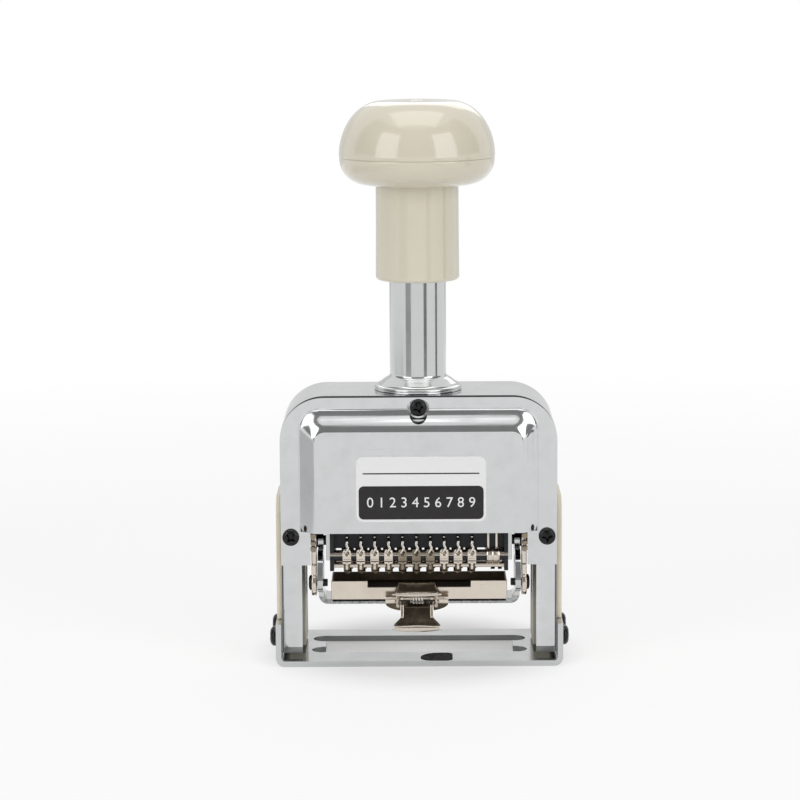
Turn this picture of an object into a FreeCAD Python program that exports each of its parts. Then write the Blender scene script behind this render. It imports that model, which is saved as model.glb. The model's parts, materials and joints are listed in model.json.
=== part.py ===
import FreeCAD, Part
import math
import os

import Sketcher

# A desk numbering machine: a plunger drives ten number wheels down through
# an inked swing pad to print in the window of the base.
# X runs across the front, the front faces -Y, Z is up, all in millimetres.

SIZES = {
    "overrun": 1.0, "running_gap": 0.05, "loose_gap": 0.3, "stroke": 22.5,
    # base plate
    "base_width": 79.4, "base_depth": 37.5, "base_thick": 1.6, "tab_height": 12.0,
    "tab_thick": 1.5, "base_bend": 2.5, "window_half": 26.4, "window_depth": 19.6,
    "window_mid": 1.4, "wing_reach": 3.8, "wing_round": 3.3,
    # fixed frame
    "case_half": 38.2, "case_depth": 26.0, "case_top": 75.0, "case_wall": 0.6,
    "case_round": 12.5, "foot_gap": 1.0, "leg_width": 5.1, "leg_wall": 0.8, "leg_top": 60.0,
    "insert_proud": 0.6, "insert_front": 4.5, "insert_top": 49.0, "groove_deep": 1.6,
    "groove_mid": 6.0, "groove_wide": 6.6, "panel_thick": 1.4, "panel_top": 46.5,
    "panel_depth": 24.0, "panel_round": 6.0,
    # covers
    "cover_thick": 1.0, "cover_top": 74.6, "cover_low": 27.7, "band_inner": 30.0,
    "emboss_half": 33.0, "emboss_top": 71.6, "emboss_low": 37.3, "emboss_rise": 3.5,
    "emboss_slope": 4.7, "emboss_slope_top": 6.3, "emboss_round": 5.6, "emboss_wall": 0.8, "scallop": 3.1,
    "screw_head": 2.35, "screw_head_tall": 1.5, "screw_shank": 1.2, "screw_long": 3.6,
    "screw_high": 71.8, "screw_side": 35.4, "screw_low": 35.7, "boss_wide": 8.0,
    "label_wide": 35.7, "label_tall": 18.2, "label_mid": 0.65, "label_low": 40.6,
    "label_thick": 0.3, "label_round": 2.0,
    # base screws
    "foot_head": 2.8, "foot_head_tall": 2.1, "foot_shank": 1.45, "foot_high": 6.2,
    "foot_spread": 15.0,
    # barrel, knob and spring
    "barrel_radius": 7.85, "barrel_bore": 6.3, "barrel_top": 125.0, "flange_radius": 12.2,
    "flange_thick": 1.2, "cone_radius": 8.6, "cone_tall": 2.1, "spigot_long": 4.0,
    "floor_thick": 3.0, "sleeve_radius": 11.6, "sleeve_bore": 8.2, "sleeve_low": 105.7,
    "knob_low": 132.1, "knob_seam": 139.6, "knob_top": 155.0,
    "knob_radius": 21.6, "knob_crown": 9.5, "knob_foot": 14.0, "knob_hollow_top": 150.0,
    "knob_dimple": 1.2, "knob_dimple_deep": 0.4,
    "rod_radius": 2.5, "rod_collar": 5.6, "rod_collar_thick": 1.5, "collar_low": 122.0,
    "coil_radius": 4.6, "coil_wire": 0.55, "coil_turns": 13.0,
    # yoke and carriage
    "yoke_top": 66.0, "yoke_thick": 1.2, "yoke_depth": 16.0, "yoke_low": 27.8,
    "plate_inner": 23.6, "plate_thick": 1.1, "plate_front": 12.9, "plate_rear": 11.6,
    "plate_low": 25.8, "plate_top": 52.0, "plate_toe": 23.1, "plate_toe_start": 5.4,
    "plate_toe_rear": 9.2, "shoe_low": 38.0, "shoe_tall": 8.0, "shoe_wide": 6.0,
    # wheels
    "axle_high": 32.2, "axle_radius": 2.0, "wheel_pitch": 3.85, "wheel_first": -20.0,
    "wheel_wide": 3.3, "drum_radius": 8.0, "type_radius": 9.7, "type_wide": 2.2,
    "type_length": 3.6, "ratchet_wide": 1.1, "ratchet_deep": 1.0,
    # pawls and their rods
    "pawl_rod_front": 11.6, "pawl_rod_high": 30.0, "pawl_rod_radius": 1.5, "pawl_wide": 2.4,
    "pawl_eye": 0.65, "pawl_head": 1.9, "pawl_low": 26.0, "pawl_top": 32.2, "pawl_thick": 1.2,
    "tie_rear": 7.5, "tie_high": 24.2, "tie_radius": 0.6,
    "stop_front": 11.4, "stop_high": 27.2, "stop_radius": 0.7,
    "hanger_plate_front": 11.2, "hanger_plate_thick": 0.7, "hanger_plate_low": 31.95,
    "hanger_plate_top": 46.0, "back_plate_rear": 10.4,
    "back_plate_low": 27.5, "hook_hole": 0.55, "hook_high": 35.1, "hook_wire": 0.3,
    "hook_bend": 0.6,
    # feed
    "feed_x": 18.6, "feed_thick": 1.2, "feed_radius": 6.5, "feed_arm": 12.0, "feed_arm_wide": 3.4,
    "feed_pin_radius": 1.0, "drive_disc_radius": 8.6,
    # swing pad
    "pad_pivot_front": 5.0, "pad_pivot_high": 33.0, "pad_swing": 110.0, "pad_arm_inner": 26.6,
    "pad_arm_thick": 1.5, "cam_front": 11.0, "cam_high": 22.2, "cam_shank": 1.0, "cam_tip": 1.2,
    "cam_gap": 0.2, "cam_head": 2.1, "cam_head_tall": 0.9, "arm_edge": 1.6, "arm_pivot_eye": 3.4,
    "pivot_shank": 1.4, "pivot_head": 2.0, "pivot_head_tall": 0.5, "bar_low": 14.7,
    "bar_front": 5.0, "bar_rear": 5.0, "bracket_bend": 2.5,
    "hanger_inner": 28.4, "hanger_thick": 1.4, "hanger_round": 3.6, "hanger_top": 44.0,
    "hanger_foot": 2.6,
    "tray_half": 24.6, "tray_depth": 12.5, "tray_top": 21.5, "tray_wall": 0.5,
    "tray_notch_half": 14.4, "tray_notch": 1.8, "felt_tall": 2.6, "felt_gap": 0.3,
    # clip on the front of the tray
    "clip_mid": -0.65, "clip_half": 6.7, "clip_waist": 4.6, "clip_pin_front": 9.3,
    "clip_pin_high": 17.3, "clip_pin_radius": 0.6, "clip_thick": 0.5, "clip_upper_top": 22.6,
    "clip_lower_low": 9.6, "clip_reach": 4.6, "clip_coil": 1.35, "clip_coil_wire": 0.35,
    "clip_coil_turns": 4.0, "clip_foot_half": 8.8, "clip_ear": 1.5, "clip_nest": 1.5, "clip_foot_drop": 3.0,
}

WHEEL_COUNT = 10
DIGIT_COUNT = 10
CAM_STEPS = 16
SIDES = {"left": -1, "right": 1}

# how far along the clip's reach each bend of its two leaves stands, in front and up or down
UPPER_ROOT_SHARES = (0.74, 0.42)
UPPER_ARM_SHARE = 0.62
UPPER_SWELL_SHARE = 0.7
UPPER_CREST_SHARE = 0.48
LOWER_ROOT_SHARES = (0.56, 0.35)
LOWER_KNEE_SHARES = (0.66, 0.95)
FLARE_SHARE = 0.35


class Size:
    """A length that keeps both its value and the expression that makes it."""

    def __init__(self, value, text):
        self.value = float(value)
        self.text = text

    def joined(self, other, sign, result):
        return Size(result, "(" + self.text + " " + sign + " " + lift(other).text + ")")

    def __add__(self, other):
        return self.joined(other, "+", self.value + lift(other).value)

    def __sub__(self, other):
        return self.joined(other, "-", self.value - lift(other).value)

    def __mul__(self, other):
        return self.joined(other, "*", self.value * lift(other).value)

    def __truediv__(self, other):
        return self.joined(other, "/", self.value / lift(other).value)

    def __rmul__(self, other):
        return lift(other) * self

    def __radd__(self, other):
        return lift(other) + self

    def __rsub__(self, other):
        return lift(other) - self

    def __neg__(self):
        return Size(-self.value, "(0 - " + self.text + ")")


def lift(number):
    """Give a plain number the form of a size."""
    return number if isinstance(number, Size) else Size(number, str(number))


class Sizes:
    """Every driving dimension by name, as a size bound to the sheet."""

    def __init__(self, table):
        for name, value in table.items():
            setattr(self, name, Size(value, "dims." + name))


doc = FreeCAD.newDocument("numbering_machine")
sheet = doc.addObject("Spreadsheet::Sheet", "dims")
for row, (alias, number) in enumerate(SIZES.items(), start=1):
    sheet.set("A" + str(row), alias)
    sheet.set("B" + str(row), str(number))
    sheet.setAlias("B" + str(row), alias)
doc.recompute()
s = Sizes(SIZES)
nodes = []

ALONG = {
    "X": FreeCAD.Rotation(FreeCAD.Vector(0, 1, 0), 90),
    "Y": FreeCAD.Rotation(FreeCAD.Vector(1, 0, 0), -90),
    "Z": FreeCAD.Rotation(),
}


def bind(obj, prop, size):
    """Set one property of an object from a size's expression."""
    obj.setExpression(prop, lift(size).text)


def move_to(obj, x, y, z):
    """Bind an object's place to three sizes."""
    for prop, size in (("Placement.Base.x", x), ("Placement.Base.y", y), ("Placement.Base.z", z)):
        bind(obj, prop, size)


def box(low, high, name="block"):
    """A box between two corners given as sizes."""
    obj = doc.addObject("Part::Box", name)
    for prop, start, stop in zip(("Length", "Width", "Height"), low, high):
        bind(obj, prop, lift(stop) - lift(start))
    move_to(obj, *low)
    return obj


def rod(axis, radius, start, stop, across, name="rod"):
    """A cylinder along an axis, from start to stop, at two cross places."""
    obj = doc.addObject("Part::Cylinder", name)
    bind(obj, "Radius", radius)
    bind(obj, "Height", lift(stop) - lift(start))
    obj.Placement = FreeCAD.Placement(FreeCAD.Vector(), ALONG[axis])
    first, second = across
    places = {"X": (start, first, second), "Y": (first, start, second), "Z": (first, second, start)}
    move_to(obj, *places[axis])
    return obj


def cone(low_radius, high_radius, low, high):
    """An upright cone on the Z axis."""
    obj = doc.addObject("Part::Cone", "cone")
    bind(obj, "Radius1", low_radius)
    bind(obj, "Radius2", high_radius)
    bind(obj, "Height", lift(high) - lift(low))
    move_to(obj, 0, 0, low)
    return obj


def fuse(parts, name="joined"):
    """One object from several that touch."""
    obj = doc.addObject("Part::MultiFuse", name)
    obj.Shapes = parts
    obj.Refine = True
    return obj


def cut(base, tools, name="trimmed"):
    """A base with its tools taken away."""
    obj = doc.addObject("Part::Cut", name)
    obj.Base = base
    obj.Tool = tools[0] if len(tools) == 1 else fuse(tools, "cutters")
    obj.Refine = True
    return obj


def feature(shape, name="worked", place=None):
    """An object that holds a shape worked out from the sheet."""
    obj = doc.addObject("Part::Feature", name)
    obj.Shape = shape
    obj.Placement = place or FreeCAD.Placement()
    return obj


def pair(parts):
    """Several separate solids kept as one piece."""
    obj = doc.addObject("Part::Compound", "set")
    obj.Links = parts
    return obj


def node(obj, label):
    """Name a finished piece and keep it for export."""
    obj.Label = label
    nodes.append(obj)
    return obj


def sketched(body, plane, outline):
    """A closed outline of straight lines on a body's origin plane, tied to sizes."""
    sketch = body.newObject("Sketcher::SketchObject", "outline")
    origin = [item for item in body.Origin.OriginFeatures if item.Role == plane][0]
    sketch.AttachmentSupport = (origin, [""])
    sketch.MapMode = "FlatFace"
    points = [FreeCAD.Vector(lift(a).value, lift(b).value, 0) for a, b in outline]
    count = len(points)
    for index in range(count):
        sketch.addGeometry(Part.LineSegment(points[index], points[(index + 1) % count]), False)
    for index in range(count):
        sketch.addConstraint(Sketcher.Constraint("Coincident", index, 2, (index + 1) % count, 1))
    for index, (a, b) in enumerate(outline):
        for kind, size in (("DistanceX", lift(a)), ("DistanceY", lift(b))):
            if size.value == 0:
                line = -2 if kind == "DistanceX" else -1
                sketch.addConstraint(Sketcher.Constraint("PointOnObject", index, 1, line))
                continue
            number = sketch.addConstraint(
                Sketcher.Constraint(kind, -1, 1, index, 1, size.value))
            sketch.setExpression("Constraints[" + str(number) + "]", size.text)
    return sketch


PLANE_OF = {"X": "YZ_Plane", "Y": "XZ_Plane", "Z": "XY_Plane"}


def plate(axis, outline, start, stop, rounds=(), name="plate"):
    """A flat piece: an outline padded along an axis, with some corners rounded.

    Each entry of rounds is (corner points, radius).
    """
    body = doc.addObject("PartDesign::Body", name)
    sketch = sketched(body, PLANE_OF[axis], outline)
    pad = body.newObject("PartDesign::Pad", "pad")
    pad.Profile = sketch
    bind(pad, "Length", lift(stop) - lift(start))
    pad.Reversed = axis == "Y"
    doc.recompute()
    for corners, radius in rounds:
        before = body.Tip
        picked = corner_edges(before.Shape, axis, corners)
        fillet = body.newObject("PartDesign::Fillet", "fillet")
        fillet.Base = (before, picked)
        bind(fillet, "Radius", radius)
        body.Tip = fillet
        doc.recompute()
    slot = {"X": "x", "Y": "y", "Z": "z"}[axis]
    bind(body, "Placement.Base." + slot, start)
    return body


def corner_edges(shape, axis, corners):
    """Names of the edges that run along an axis through the given corners."""
    keep = {"X": ("y", "z"), "Y": ("x", "z"), "Z": ("x", "y")}[axis]
    near = s.running_gap.value / 10
    wanted = [(lift(a).value, lift(b).value) for a, b in corners]
    names = []
    for number, edge in enumerate(shape.Edges, start=1):
        ends = [tuple(getattr(vertex.Point, part) for part in keep) for vertex in edge.Vertexes]
        if len(ends) < 2 or math.dist(ends[0], ends[1]) > near:
            continue
        if any(math.dist(ends[0], want) < near for want in wanted):
            names.append("Edge" + str(number))
    return names


def sided(side, near, far):
    """Low and high X of something between two distances from the middle."""
    return (near, far) if side > 0 else (-far, -near)


# shared places
base_half = s.base_width / 2
base_front = s.base_depth / 2
case_face = s.case_depth / 2
leg_outer = s.case_half - s.case_wall
leg_inner = leg_outer - s.leg_width
insert_inner = leg_inner - s.insert_proud
foot_low = s.base_thick + s.foot_gap
window_front = s.window_mid - s.window_depth / 2
window_rear = s.window_mid + s.window_depth / 2
plate_outer = s.plate_inner + s.plate_thick
yoke_outer = plate_outer + s.yoke_thick
flange_top = s.case_top + s.flange_thick
barrel_floor_top = s.case_top + s.floor_thick
hanger_outer = s.hanger_inner + s.hanger_thick
arm_outer = s.pad_arm_inner + s.pad_arm_thick
cover_front = case_face + s.cover_thick


def make_base():
    """The chrome base: a floor with upturned side tabs and the print window."""
    outline = [
        (-base_half, 0), (base_half, 0), (base_half, s.tab_height),
        (base_half - s.tab_thick, s.tab_height), (base_half - s.tab_thick, s.base_thick),
        (s.tab_thick - base_half, s.base_thick), (s.tab_thick - base_half, s.tab_height),
        (-base_half, s.tab_height),
    ]
    tray = plate("Y", outline, -base_front, base_front,
                 [([(-base_half, 0), (base_half, 0)], s.base_bend),
                  ([(base_half - s.tab_thick, s.base_thick),
                    (s.tab_thick - base_half, s.base_thick)], s.base_bend - s.tab_thick)])
    low, high = -s.overrun, s.base_thick + s.overrun
    tools = [box((-s.window_half, window_front, low), (s.window_half, window_rear, high))]
    for row in (window_front + s.wing_round, window_rear - s.wing_round):
        reach = s.window_half + s.wing_reach - s.wing_round
        tools.append(box((-reach, row - s.wing_round, low), (reach, row + s.wing_round, high)))
        for end in (-reach, reach):
            tools.append(rod("Z", s.wing_round, low, high, (end, row)))
    for side in SIDES.values():
        near, far = sided(side, base_half - s.tab_thick - s.overrun, base_half + s.overrun)
        for along in (-s.foot_spread / 2, s.foot_spread / 2):
            tools.append(rod("X", s.foot_shank + s.running_gap, near, far, (along, s.foot_high)))
    node(cut(tray, tools), "base_plate")


def make_base_screws():
    """Four black pan heads that hold the frame between the base tabs."""
    parts = []
    for side in SIDES.values():
        for along in (-s.foot_spread / 2, s.foot_spread / 2):
            near, far = sided(side, base_half, base_half + s.foot_head_tall)
            head = rod("X", s.foot_head, near, far, (along, s.foot_high))
            near, far = sided(side, leg_outer - s.leg_wall, base_half)
            shank = rod("X", s.foot_shank, near, far, (along, s.foot_high))
            parts.append(fuse([head, shank]))
    node(pair(parts), "base_screws")


def foot_holes(near_reach, far_reach, side):
    """Clearance holes for the two base screws of one side."""
    near, far = sided(side, near_reach, far_reach)
    return [rod("X", s.foot_shank + s.running_gap, near, far, (along, s.foot_high))
            for along in (-s.foot_spread / 2, s.foot_spread / 2)]


def make_leg(name, side):
    """A chrome channel leg that opens inwards, with its guide insert and side panel."""
    low, high = sided(side, leg_inner, leg_outer)
    channel = box((low, -case_face, foot_low), (high, case_face, s.leg_top))
    hollow_low, hollow_high = sided(side, leg_inner - s.overrun, leg_outer - s.leg_wall)
    hollow = box((hollow_low, s.leg_wall - case_face, foot_low - s.overrun),
                 (hollow_high, case_face - s.leg_wall, s.leg_top + s.overrun))
    tools = [hollow]
    tools += foot_holes(leg_outer - s.leg_wall - s.overrun, leg_outer + s.overrun, side)
    tools += cover_holes(side)
    node(cut(channel, tools), "leg_" + name)

    low, high = sided(side, insert_inner, leg_outer - s.leg_wall)
    insert = box((low, -s.insert_front, foot_low), (high, case_face - s.leg_wall, s.insert_top))
    groove_low, groove_high = sided(side, insert_inner - s.overrun, insert_inner + s.groove_deep)
    groove = box((groove_low, s.groove_mid - s.groove_wide / 2, foot_low + s.tab_height),
                 (groove_high, s.groove_mid + s.groove_wide / 2, s.insert_top + s.overrun))
    node(cut(insert, [groove]), "guide_insert_" + name)

    low, high = sided(side, s.case_half, s.case_half + s.panel_thick)
    outline = [(-s.panel_depth / 2, s.tab_height), (s.panel_depth / 2, s.tab_height),
               (s.panel_depth / 2, s.panel_top), (-s.panel_depth / 2, s.panel_top)]
    node(plate("X", outline, low, high, [(outline[2:], s.panel_round)]), "side_panel_" + name)


def cover_holes(side):
    """Threaded holes for the two low cover screws of one side, front and back."""
    place = (side * s.screw_side, s.screw_low)
    return [rod("Y", s.screw_shank + s.running_gap, -case_face - s.overrun,
                case_face + s.overrun, place)]


def make_case():
    """The bent chrome case: a top and two side walls that run down to the base."""
    half = s.case_half
    outer = [(-half, foot_low), (half, foot_low), (half, s.case_top), (-half, s.case_top)]
    inner_half = s.case_half - s.case_wall
    low = foot_low - s.overrun
    high = s.case_top - s.case_wall
    inner = [(-inner_half, low), (inner_half, low), (inner_half, high), (-inner_half, high)]
    shell = plate("Y", outer, -case_face, case_face, [(outer[2:], s.case_round)])
    reach = case_face + s.overrun
    room = plate("Y", inner, -reach, reach, [(inner[2:], s.case_round - s.case_wall)])
    tools = [room]
    hole = rod("Z", s.barrel_radius + s.running_gap, high - s.overrun, s.case_top + s.overrun, (0, 0))
    tools.append(hole)
    for side in SIDES.values():
        tools += foot_holes(leg_outer - s.overrun, s.case_half + s.overrun, side)
    bent = cut(shell, tools)
    bosses = []
    for face in (-1, 1):
        near = face * (case_face - s.screw_long)
        far = face * case_face
        ends = (far, near) if face < 0 else (near, far)
        block = box((-s.boss_wide / 2, ends[0], s.screw_high - s.screw_head),
                    (s.boss_wide / 2, ends[1], s.case_top - s.case_wall))
        bosses.append(block)
    solid = fuse([bent] + bosses)
    drill = rod("Y", s.screw_shank + s.running_gap, -reach, reach, (0, s.screw_high))
    node(cut(solid, [drill]), "case_shell")


def round_wire(half, low, high, radius, level):
    """A rectangle in the XZ plane with its two upper corners rounded."""
    dip = radius * (1 - math.sqrt(0.5))
    a = FreeCAD.Vector(-half, level, low)
    b = FreeCAD.Vector(-half, level, high - radius)
    c = FreeCAD.Vector(-half + dip, level, high - dip)
    d = FreeCAD.Vector(-half + radius, level, high)
    e = FreeCAD.Vector(half - radius, level, high)
    f = FreeCAD.Vector(half - dip, level, high - dip)
    g = FreeCAD.Vector(half, level, high - radius)
    h = FreeCAD.Vector(half, level, low)
    edges = [Part.LineSegment(a, b).toShape(), Part.Arc(b, c, d).toShape(),
             Part.LineSegment(d, e).toShape(), Part.Arc(e, f, g).toShape(),
             Part.LineSegment(g, h).toShape(), Part.LineSegment(h, a).toShape()]
    return Part.Wire(edges)


def emboss_solid(grow):
    """The raised panel of a cover as a solid, shrunk inwards by grow."""
    low = s.emboss_low.value - s.overrun.value
    foot = round_wire(s.emboss_half.value - grow, low, s.emboss_top.value - grow,
                      s.emboss_round.value - grow, -case_face.value + grow)
    slope = s.emboss_slope.value
    face = round_wire(s.emboss_half.value - slope - grow, low,
                      s.emboss_top.value - s.emboss_slope_top.value - grow,
                      s.emboss_round.value - slope / 2 - grow,
                      -cover_front.value - s.emboss_rise.value + grow)
    return Part.makeLoft([foot, face], True, True)


def make_cover(label, turn):
    """A pressed cover: a flat rim with two bands and a hollow raised panel."""
    inset = s.case_top - s.cover_top
    half = s.case_half
    outline = [(-half, s.cover_low), (-s.band_inner, s.cover_low), (-s.band_inner, s.emboss_low),
               (s.band_inner, s.emboss_low), (s.band_inner, s.cover_low), (half, s.cover_low),
               (half, s.cover_top), (-half, s.cover_top)]
    rim = plate("Y", outline, -cover_front, -case_face, [(outline[6:], s.case_round - inset)])
    raised = feature(emboss_solid(0), "raised")
    hollow = feature(emboss_solid(s.emboss_wall.value), "hollow")
    pressed = cut(fuse([rim, raised]), [hollow])
    ahead = -cover_front - s.emboss_rise - s.overrun
    behind = s.overrun - case_face
    below = s.emboss_low - s.overrun - s.overrun
    open_low = box((-s.band_inner, ahead, below), (s.band_inner, behind, s.emboss_low))
    proud_low = box((-half, ahead, below), (half, -cover_front, s.emboss_low))
    tools = [open_low, proud_low]
    tools.append(rod("Y", s.scallop, ahead, -cover_front, (0, s.screw_high)))
    for x, z in ((0, s.screw_high), (-s.screw_side, s.screw_low), (s.screw_side, s.screw_low)):
        tools.append(rod("Y", s.screw_shank + s.running_gap, ahead, behind, (x, z)))
    cover = cut(pressed, tools)
    if turn:
        cover.Placement = FreeCAD.Placement(FreeCAD.Vector(), FreeCAD.Rotation(180, 0, 0))
    node(cover, label)


def make_cover_screws():
    """Six black pan heads, three in each cover."""
    parts = []
    for face in (-1, 1):
        for x, z in ((0, s.screw_high), (-s.screw_side, s.screw_low), (s.screw_side, s.screw_low)):
            flat = x == 0
            deep = s.screw_long if flat else s.leg_wall
            if face < 0:
                head = rod("Y", s.screw_head, -cover_front - s.screw_head_tall, -cover_front, (x, z))
                shank = rod("Y", s.screw_shank, -cover_front, deep - case_face, (x, z))
            else:
                head = rod("Y", s.screw_head, cover_front, cover_front + s.screw_head_tall, (x, z))
                shank = rod("Y", s.screw_shank, case_face - deep, cover_front, (x, z))
            parts.append(fuse([head, shank]))
    node(pair(parts), "cover_screws")


def make_label():
    """The plain two-tone plate on the front cover."""
    left = s.label_mid - s.label_wide / 2
    right = s.label_mid + s.label_wide / 2
    high = s.label_low + s.label_tall
    outline = [(left, s.label_low), (right, s.label_low), (right, high), (left, high)]
    face = -cover_front - s.emboss_rise
    node(plate("Y", outline, face - s.label_thick, face, [(outline, s.label_round)]), "label_plate")


def make_barrel():
    """The fixed chrome barrel with its flange, bore and floor."""
    stem = rod("Z", s.barrel_radius, s.case_top - s.spigot_long, s.barrel_top, (0, 0))
    ring = rod("Z", s.flange_radius, s.case_top, flange_top, (0, 0))
    flare = cone(s.flange_radius - s.overrun, s.cone_radius, flange_top, flange_top + s.cone_tall)
    bore = rod("Z", s.barrel_bore, barrel_floor_top, s.barrel_top + s.overrun, (0, 0))
    guide = rod("Z", s.rod_radius + s.running_gap, s.case_top - s.spigot_long - s.overrun,
                barrel_floor_top + s.overrun, (0, 0))
    node(cut(fuse([stem, ring, flare]), [bore, guide]), "barrel")


def knob_half(flat_radius, flat_level, bore_low, bore_top):
    """Half of the knob, turned, with a quarter ellipse from the seam to a flat end."""
    seam = s.knob_seam.value
    wide = s.knob_radius.value
    centre = FreeCAD.Vector(flat_radius, 0, seam)
    flank = FreeCAD.Vector(wide, 0, seam)
    crest = FreeCAD.Vector(flat_radius, 0, flat_level)
    if abs(flat_level - seam) > wide - flat_radius:
        curve = Part.Ellipse(crest, flank, centre)
    else:
        curve = Part.Ellipse(flank, crest, centre)
    begin, finish = sorted((curve.parameter(flank), curve.parameter(crest)))
    if finish - begin > math.pi:
        begin, finish = finish, begin + 2 * math.pi
    arc = Part.ArcOfEllipse(curve, begin, finish).toShape()
    at_seam = FreeCAD.Vector(0, 0, seam)
    at_end = FreeCAD.Vector(0, 0, flat_level)
    edges = [Part.LineSegment(at_seam, flank).toShape(), arc,
             Part.LineSegment(crest, at_end).toShape(), Part.LineSegment(at_end, at_seam).toShape()]
    face = Part.Face(Part.Wire(Part.sortEdges(edges)[0]))
    solid = face.revolve(FreeCAD.Vector(), FreeCAD.Vector(0, 0, 1), 360)
    hole = Part.makeCylinder(s.sleeve_bore.value, bore_top - bore_low,
                             FreeCAD.Vector(0, 0, bore_low))
    return solid.cut(hole)


def make_knob():
    """The two-part plastic knob and the sleeve that slides over the barrel."""
    seam, over = s.knob_seam.value, s.overrun.value
    cap = knob_half(s.knob_crown.value, s.knob_top.value, seam, s.knob_hollow_top.value)
    dimple_low = s.knob_top.value - s.knob_dimple_deep.value
    cap = cap.cut(Part.makeCylinder(s.knob_dimple.value, over, FreeCAD.Vector(0, 0, dimple_low)))
    node(feature(cap, "cap"), "knob_cap")
    low = s.knob_low.value
    node(feature(knob_half(s.knob_foot.value, low, low, seam + over), "foot"), "knob_base")
    sleeve = cut(rod("Z", s.sleeve_radius, s.sleeve_low, s.knob_low, (0, 0)),
                 [rod("Z", s.sleeve_bore, s.sleeve_low - s.overrun, s.knob_low + s.overrun, (0, 0))])
    node(sleeve, "knob_sleeve")


def make_plunger():
    """The rod from the knob to the yoke, its collar, and the return spring."""
    shaft = rod("Z", s.rod_radius, s.yoke_top, s.knob_hollow_top, (0, 0))
    collar = rod("Z", s.rod_collar, s.collar_low, s.collar_low + s.rod_collar_thick, (0, 0))
    node(fuse([shaft, collar]), "plunger_rod")
    bottom = barrel_floor_top.value + s.coil_wire.value + s.running_gap.value
    top = s.collar_low.value - s.coil_wire.value - s.running_gap.value
    wound = coil(s.coil_radius.value, s.coil_wire.value, top - bottom, s.coil_turns.value)
    place = FreeCAD.Placement(FreeCAD.Vector(0, 0, bottom), ALONG["Z"])
    node(feature(wound, "coil", place), "return_spring")


def coil(radius, wire, length, turns):
    """A round wire wound on a steady helix that climbs from the origin along Z."""
    helix = Part.makeHelix(length / turns, length, radius)
    tangent = FreeCAD.Vector(0, 2 * math.pi * radius, length / turns)
    section = Part.Wire(Part.makeCircle(wire, FreeCAD.Vector(radius, 0, 0), tangent))
    return Part.Wire(helix).makePipeShell([section], True, True)


def make_yoke():
    """The chrome yoke under the rod, with tongues that run in the leg grooves."""
    half = s.yoke_depth / 2
    outer = box((-yoke_outer, -half, s.yoke_low), (yoke_outer, half, s.yoke_top))
    room = box((-plate_outer, -half - s.overrun, s.yoke_low - s.overrun),
               (plate_outer, half + s.overrun, s.yoke_top - s.yoke_thick))
    parts = [cut(outer, [room])]
    for side in SIDES.values():
        low, high = sided(side, yoke_outer, insert_inner + s.groove_deep - s.loose_gap)
        parts.append(box((low, s.groove_mid - s.shoe_wide / 2, s.shoe_low),
                         (high, s.groove_mid + s.shoe_wide / 2, s.shoe_low + s.shoe_tall)))
    whole = fuse(parts)
    tools = [rod("X", s.axle_radius + s.running_gap, -yoke_outer - s.overrun,
                 yoke_outer + s.overrun, (0, s.axle_high))]
    tools.append(rod("X", s.pivot_shank + s.running_gap, -yoke_outer - s.overrun,
                     yoke_outer + s.overrun, (-s.pad_pivot_front, s.pad_pivot_high)))
    node(cut(whole, tools), "yoke")


def make_carriage():
    """Side plates, axle and rods that carry the wheels and pawls."""
    for name, side in SIDES.items():
        low, high = sided(side, s.plate_inner, plate_outer)
        outline = [(-s.plate_front, s.plate_low), (s.plate_toe_start, s.plate_low),
                   (s.plate_toe_start, s.plate_toe), (s.plate_toe_rear, s.plate_toe),
                   (s.plate_toe_rear, s.plate_low), (s.plate_rear, s.plate_low),
                   (s.plate_rear, s.plate_top), (-s.plate_front, s.plate_top)]
        flat = plate("X", outline, low, high)
        reach = (low - s.overrun, high + s.overrun)
        tools = [rod("X", s.axle_radius + s.running_gap, *reach, (0, s.axle_high)),
                 rod("X", s.pawl_rod_radius + s.running_gap, *reach,
                     (-s.pawl_rod_front, s.pawl_rod_high)),
                 rod("X", s.stop_radius + s.running_gap, *reach, (-s.stop_front, s.stop_high)),
                 rod("X", s.tie_radius + s.running_gap, *reach, (s.tie_rear, s.tie_high)),
                 rod("X", s.pivot_shank + s.running_gap, *reach,
                     (-s.pad_pivot_front, s.pad_pivot_high))]
        node(cut(flat, tools), "carriage_plate_" + name)
    node(rod("X", s.axle_radius, -yoke_outer, yoke_outer, (0, s.axle_high)), "wheel_axle")
    hinge = rod("X", s.pawl_rod_radius, -plate_outer, plate_outer,
                (-s.pawl_rod_front, s.pawl_rod_high))
    stop = rod("X", s.stop_radius, -plate_outer, plate_outer, (-s.stop_front, s.stop_high))
    node(pair([hinge, stop]), "pawl_rod")
    node(rod("X", s.tie_radius, -plate_outer, plate_outer, (s.tie_rear, s.tie_high)), "tie_rod")
    hooks = [rod("Y", s.hook_hole, -s.hanger_plate_front - s.overrun,
                 s.overrun - s.hanger_plate_front + s.hanger_plate_thick,
                 (wheel_middle(number), s.hook_high)) for number in range(WHEEL_COUNT)]
    flat = box((-s.plate_inner, -s.hanger_plate_front, s.hanger_plate_low),
               (s.plate_inner, s.hanger_plate_thick - s.hanger_plate_front, s.hanger_plate_top))
    back = box((-s.plate_inner, s.back_plate_rear, s.back_plate_low),
               (s.plate_inner, s.back_plate_rear + s.hanger_plate_thick, s.hanger_plate_top))
    node(pair([cut(flat, hooks), back]), "spring_plate")


def wheel_middle(number):
    """X of a wheel's middle, counted from the left."""
    return s.wheel_first + number * s.wheel_pitch


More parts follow.
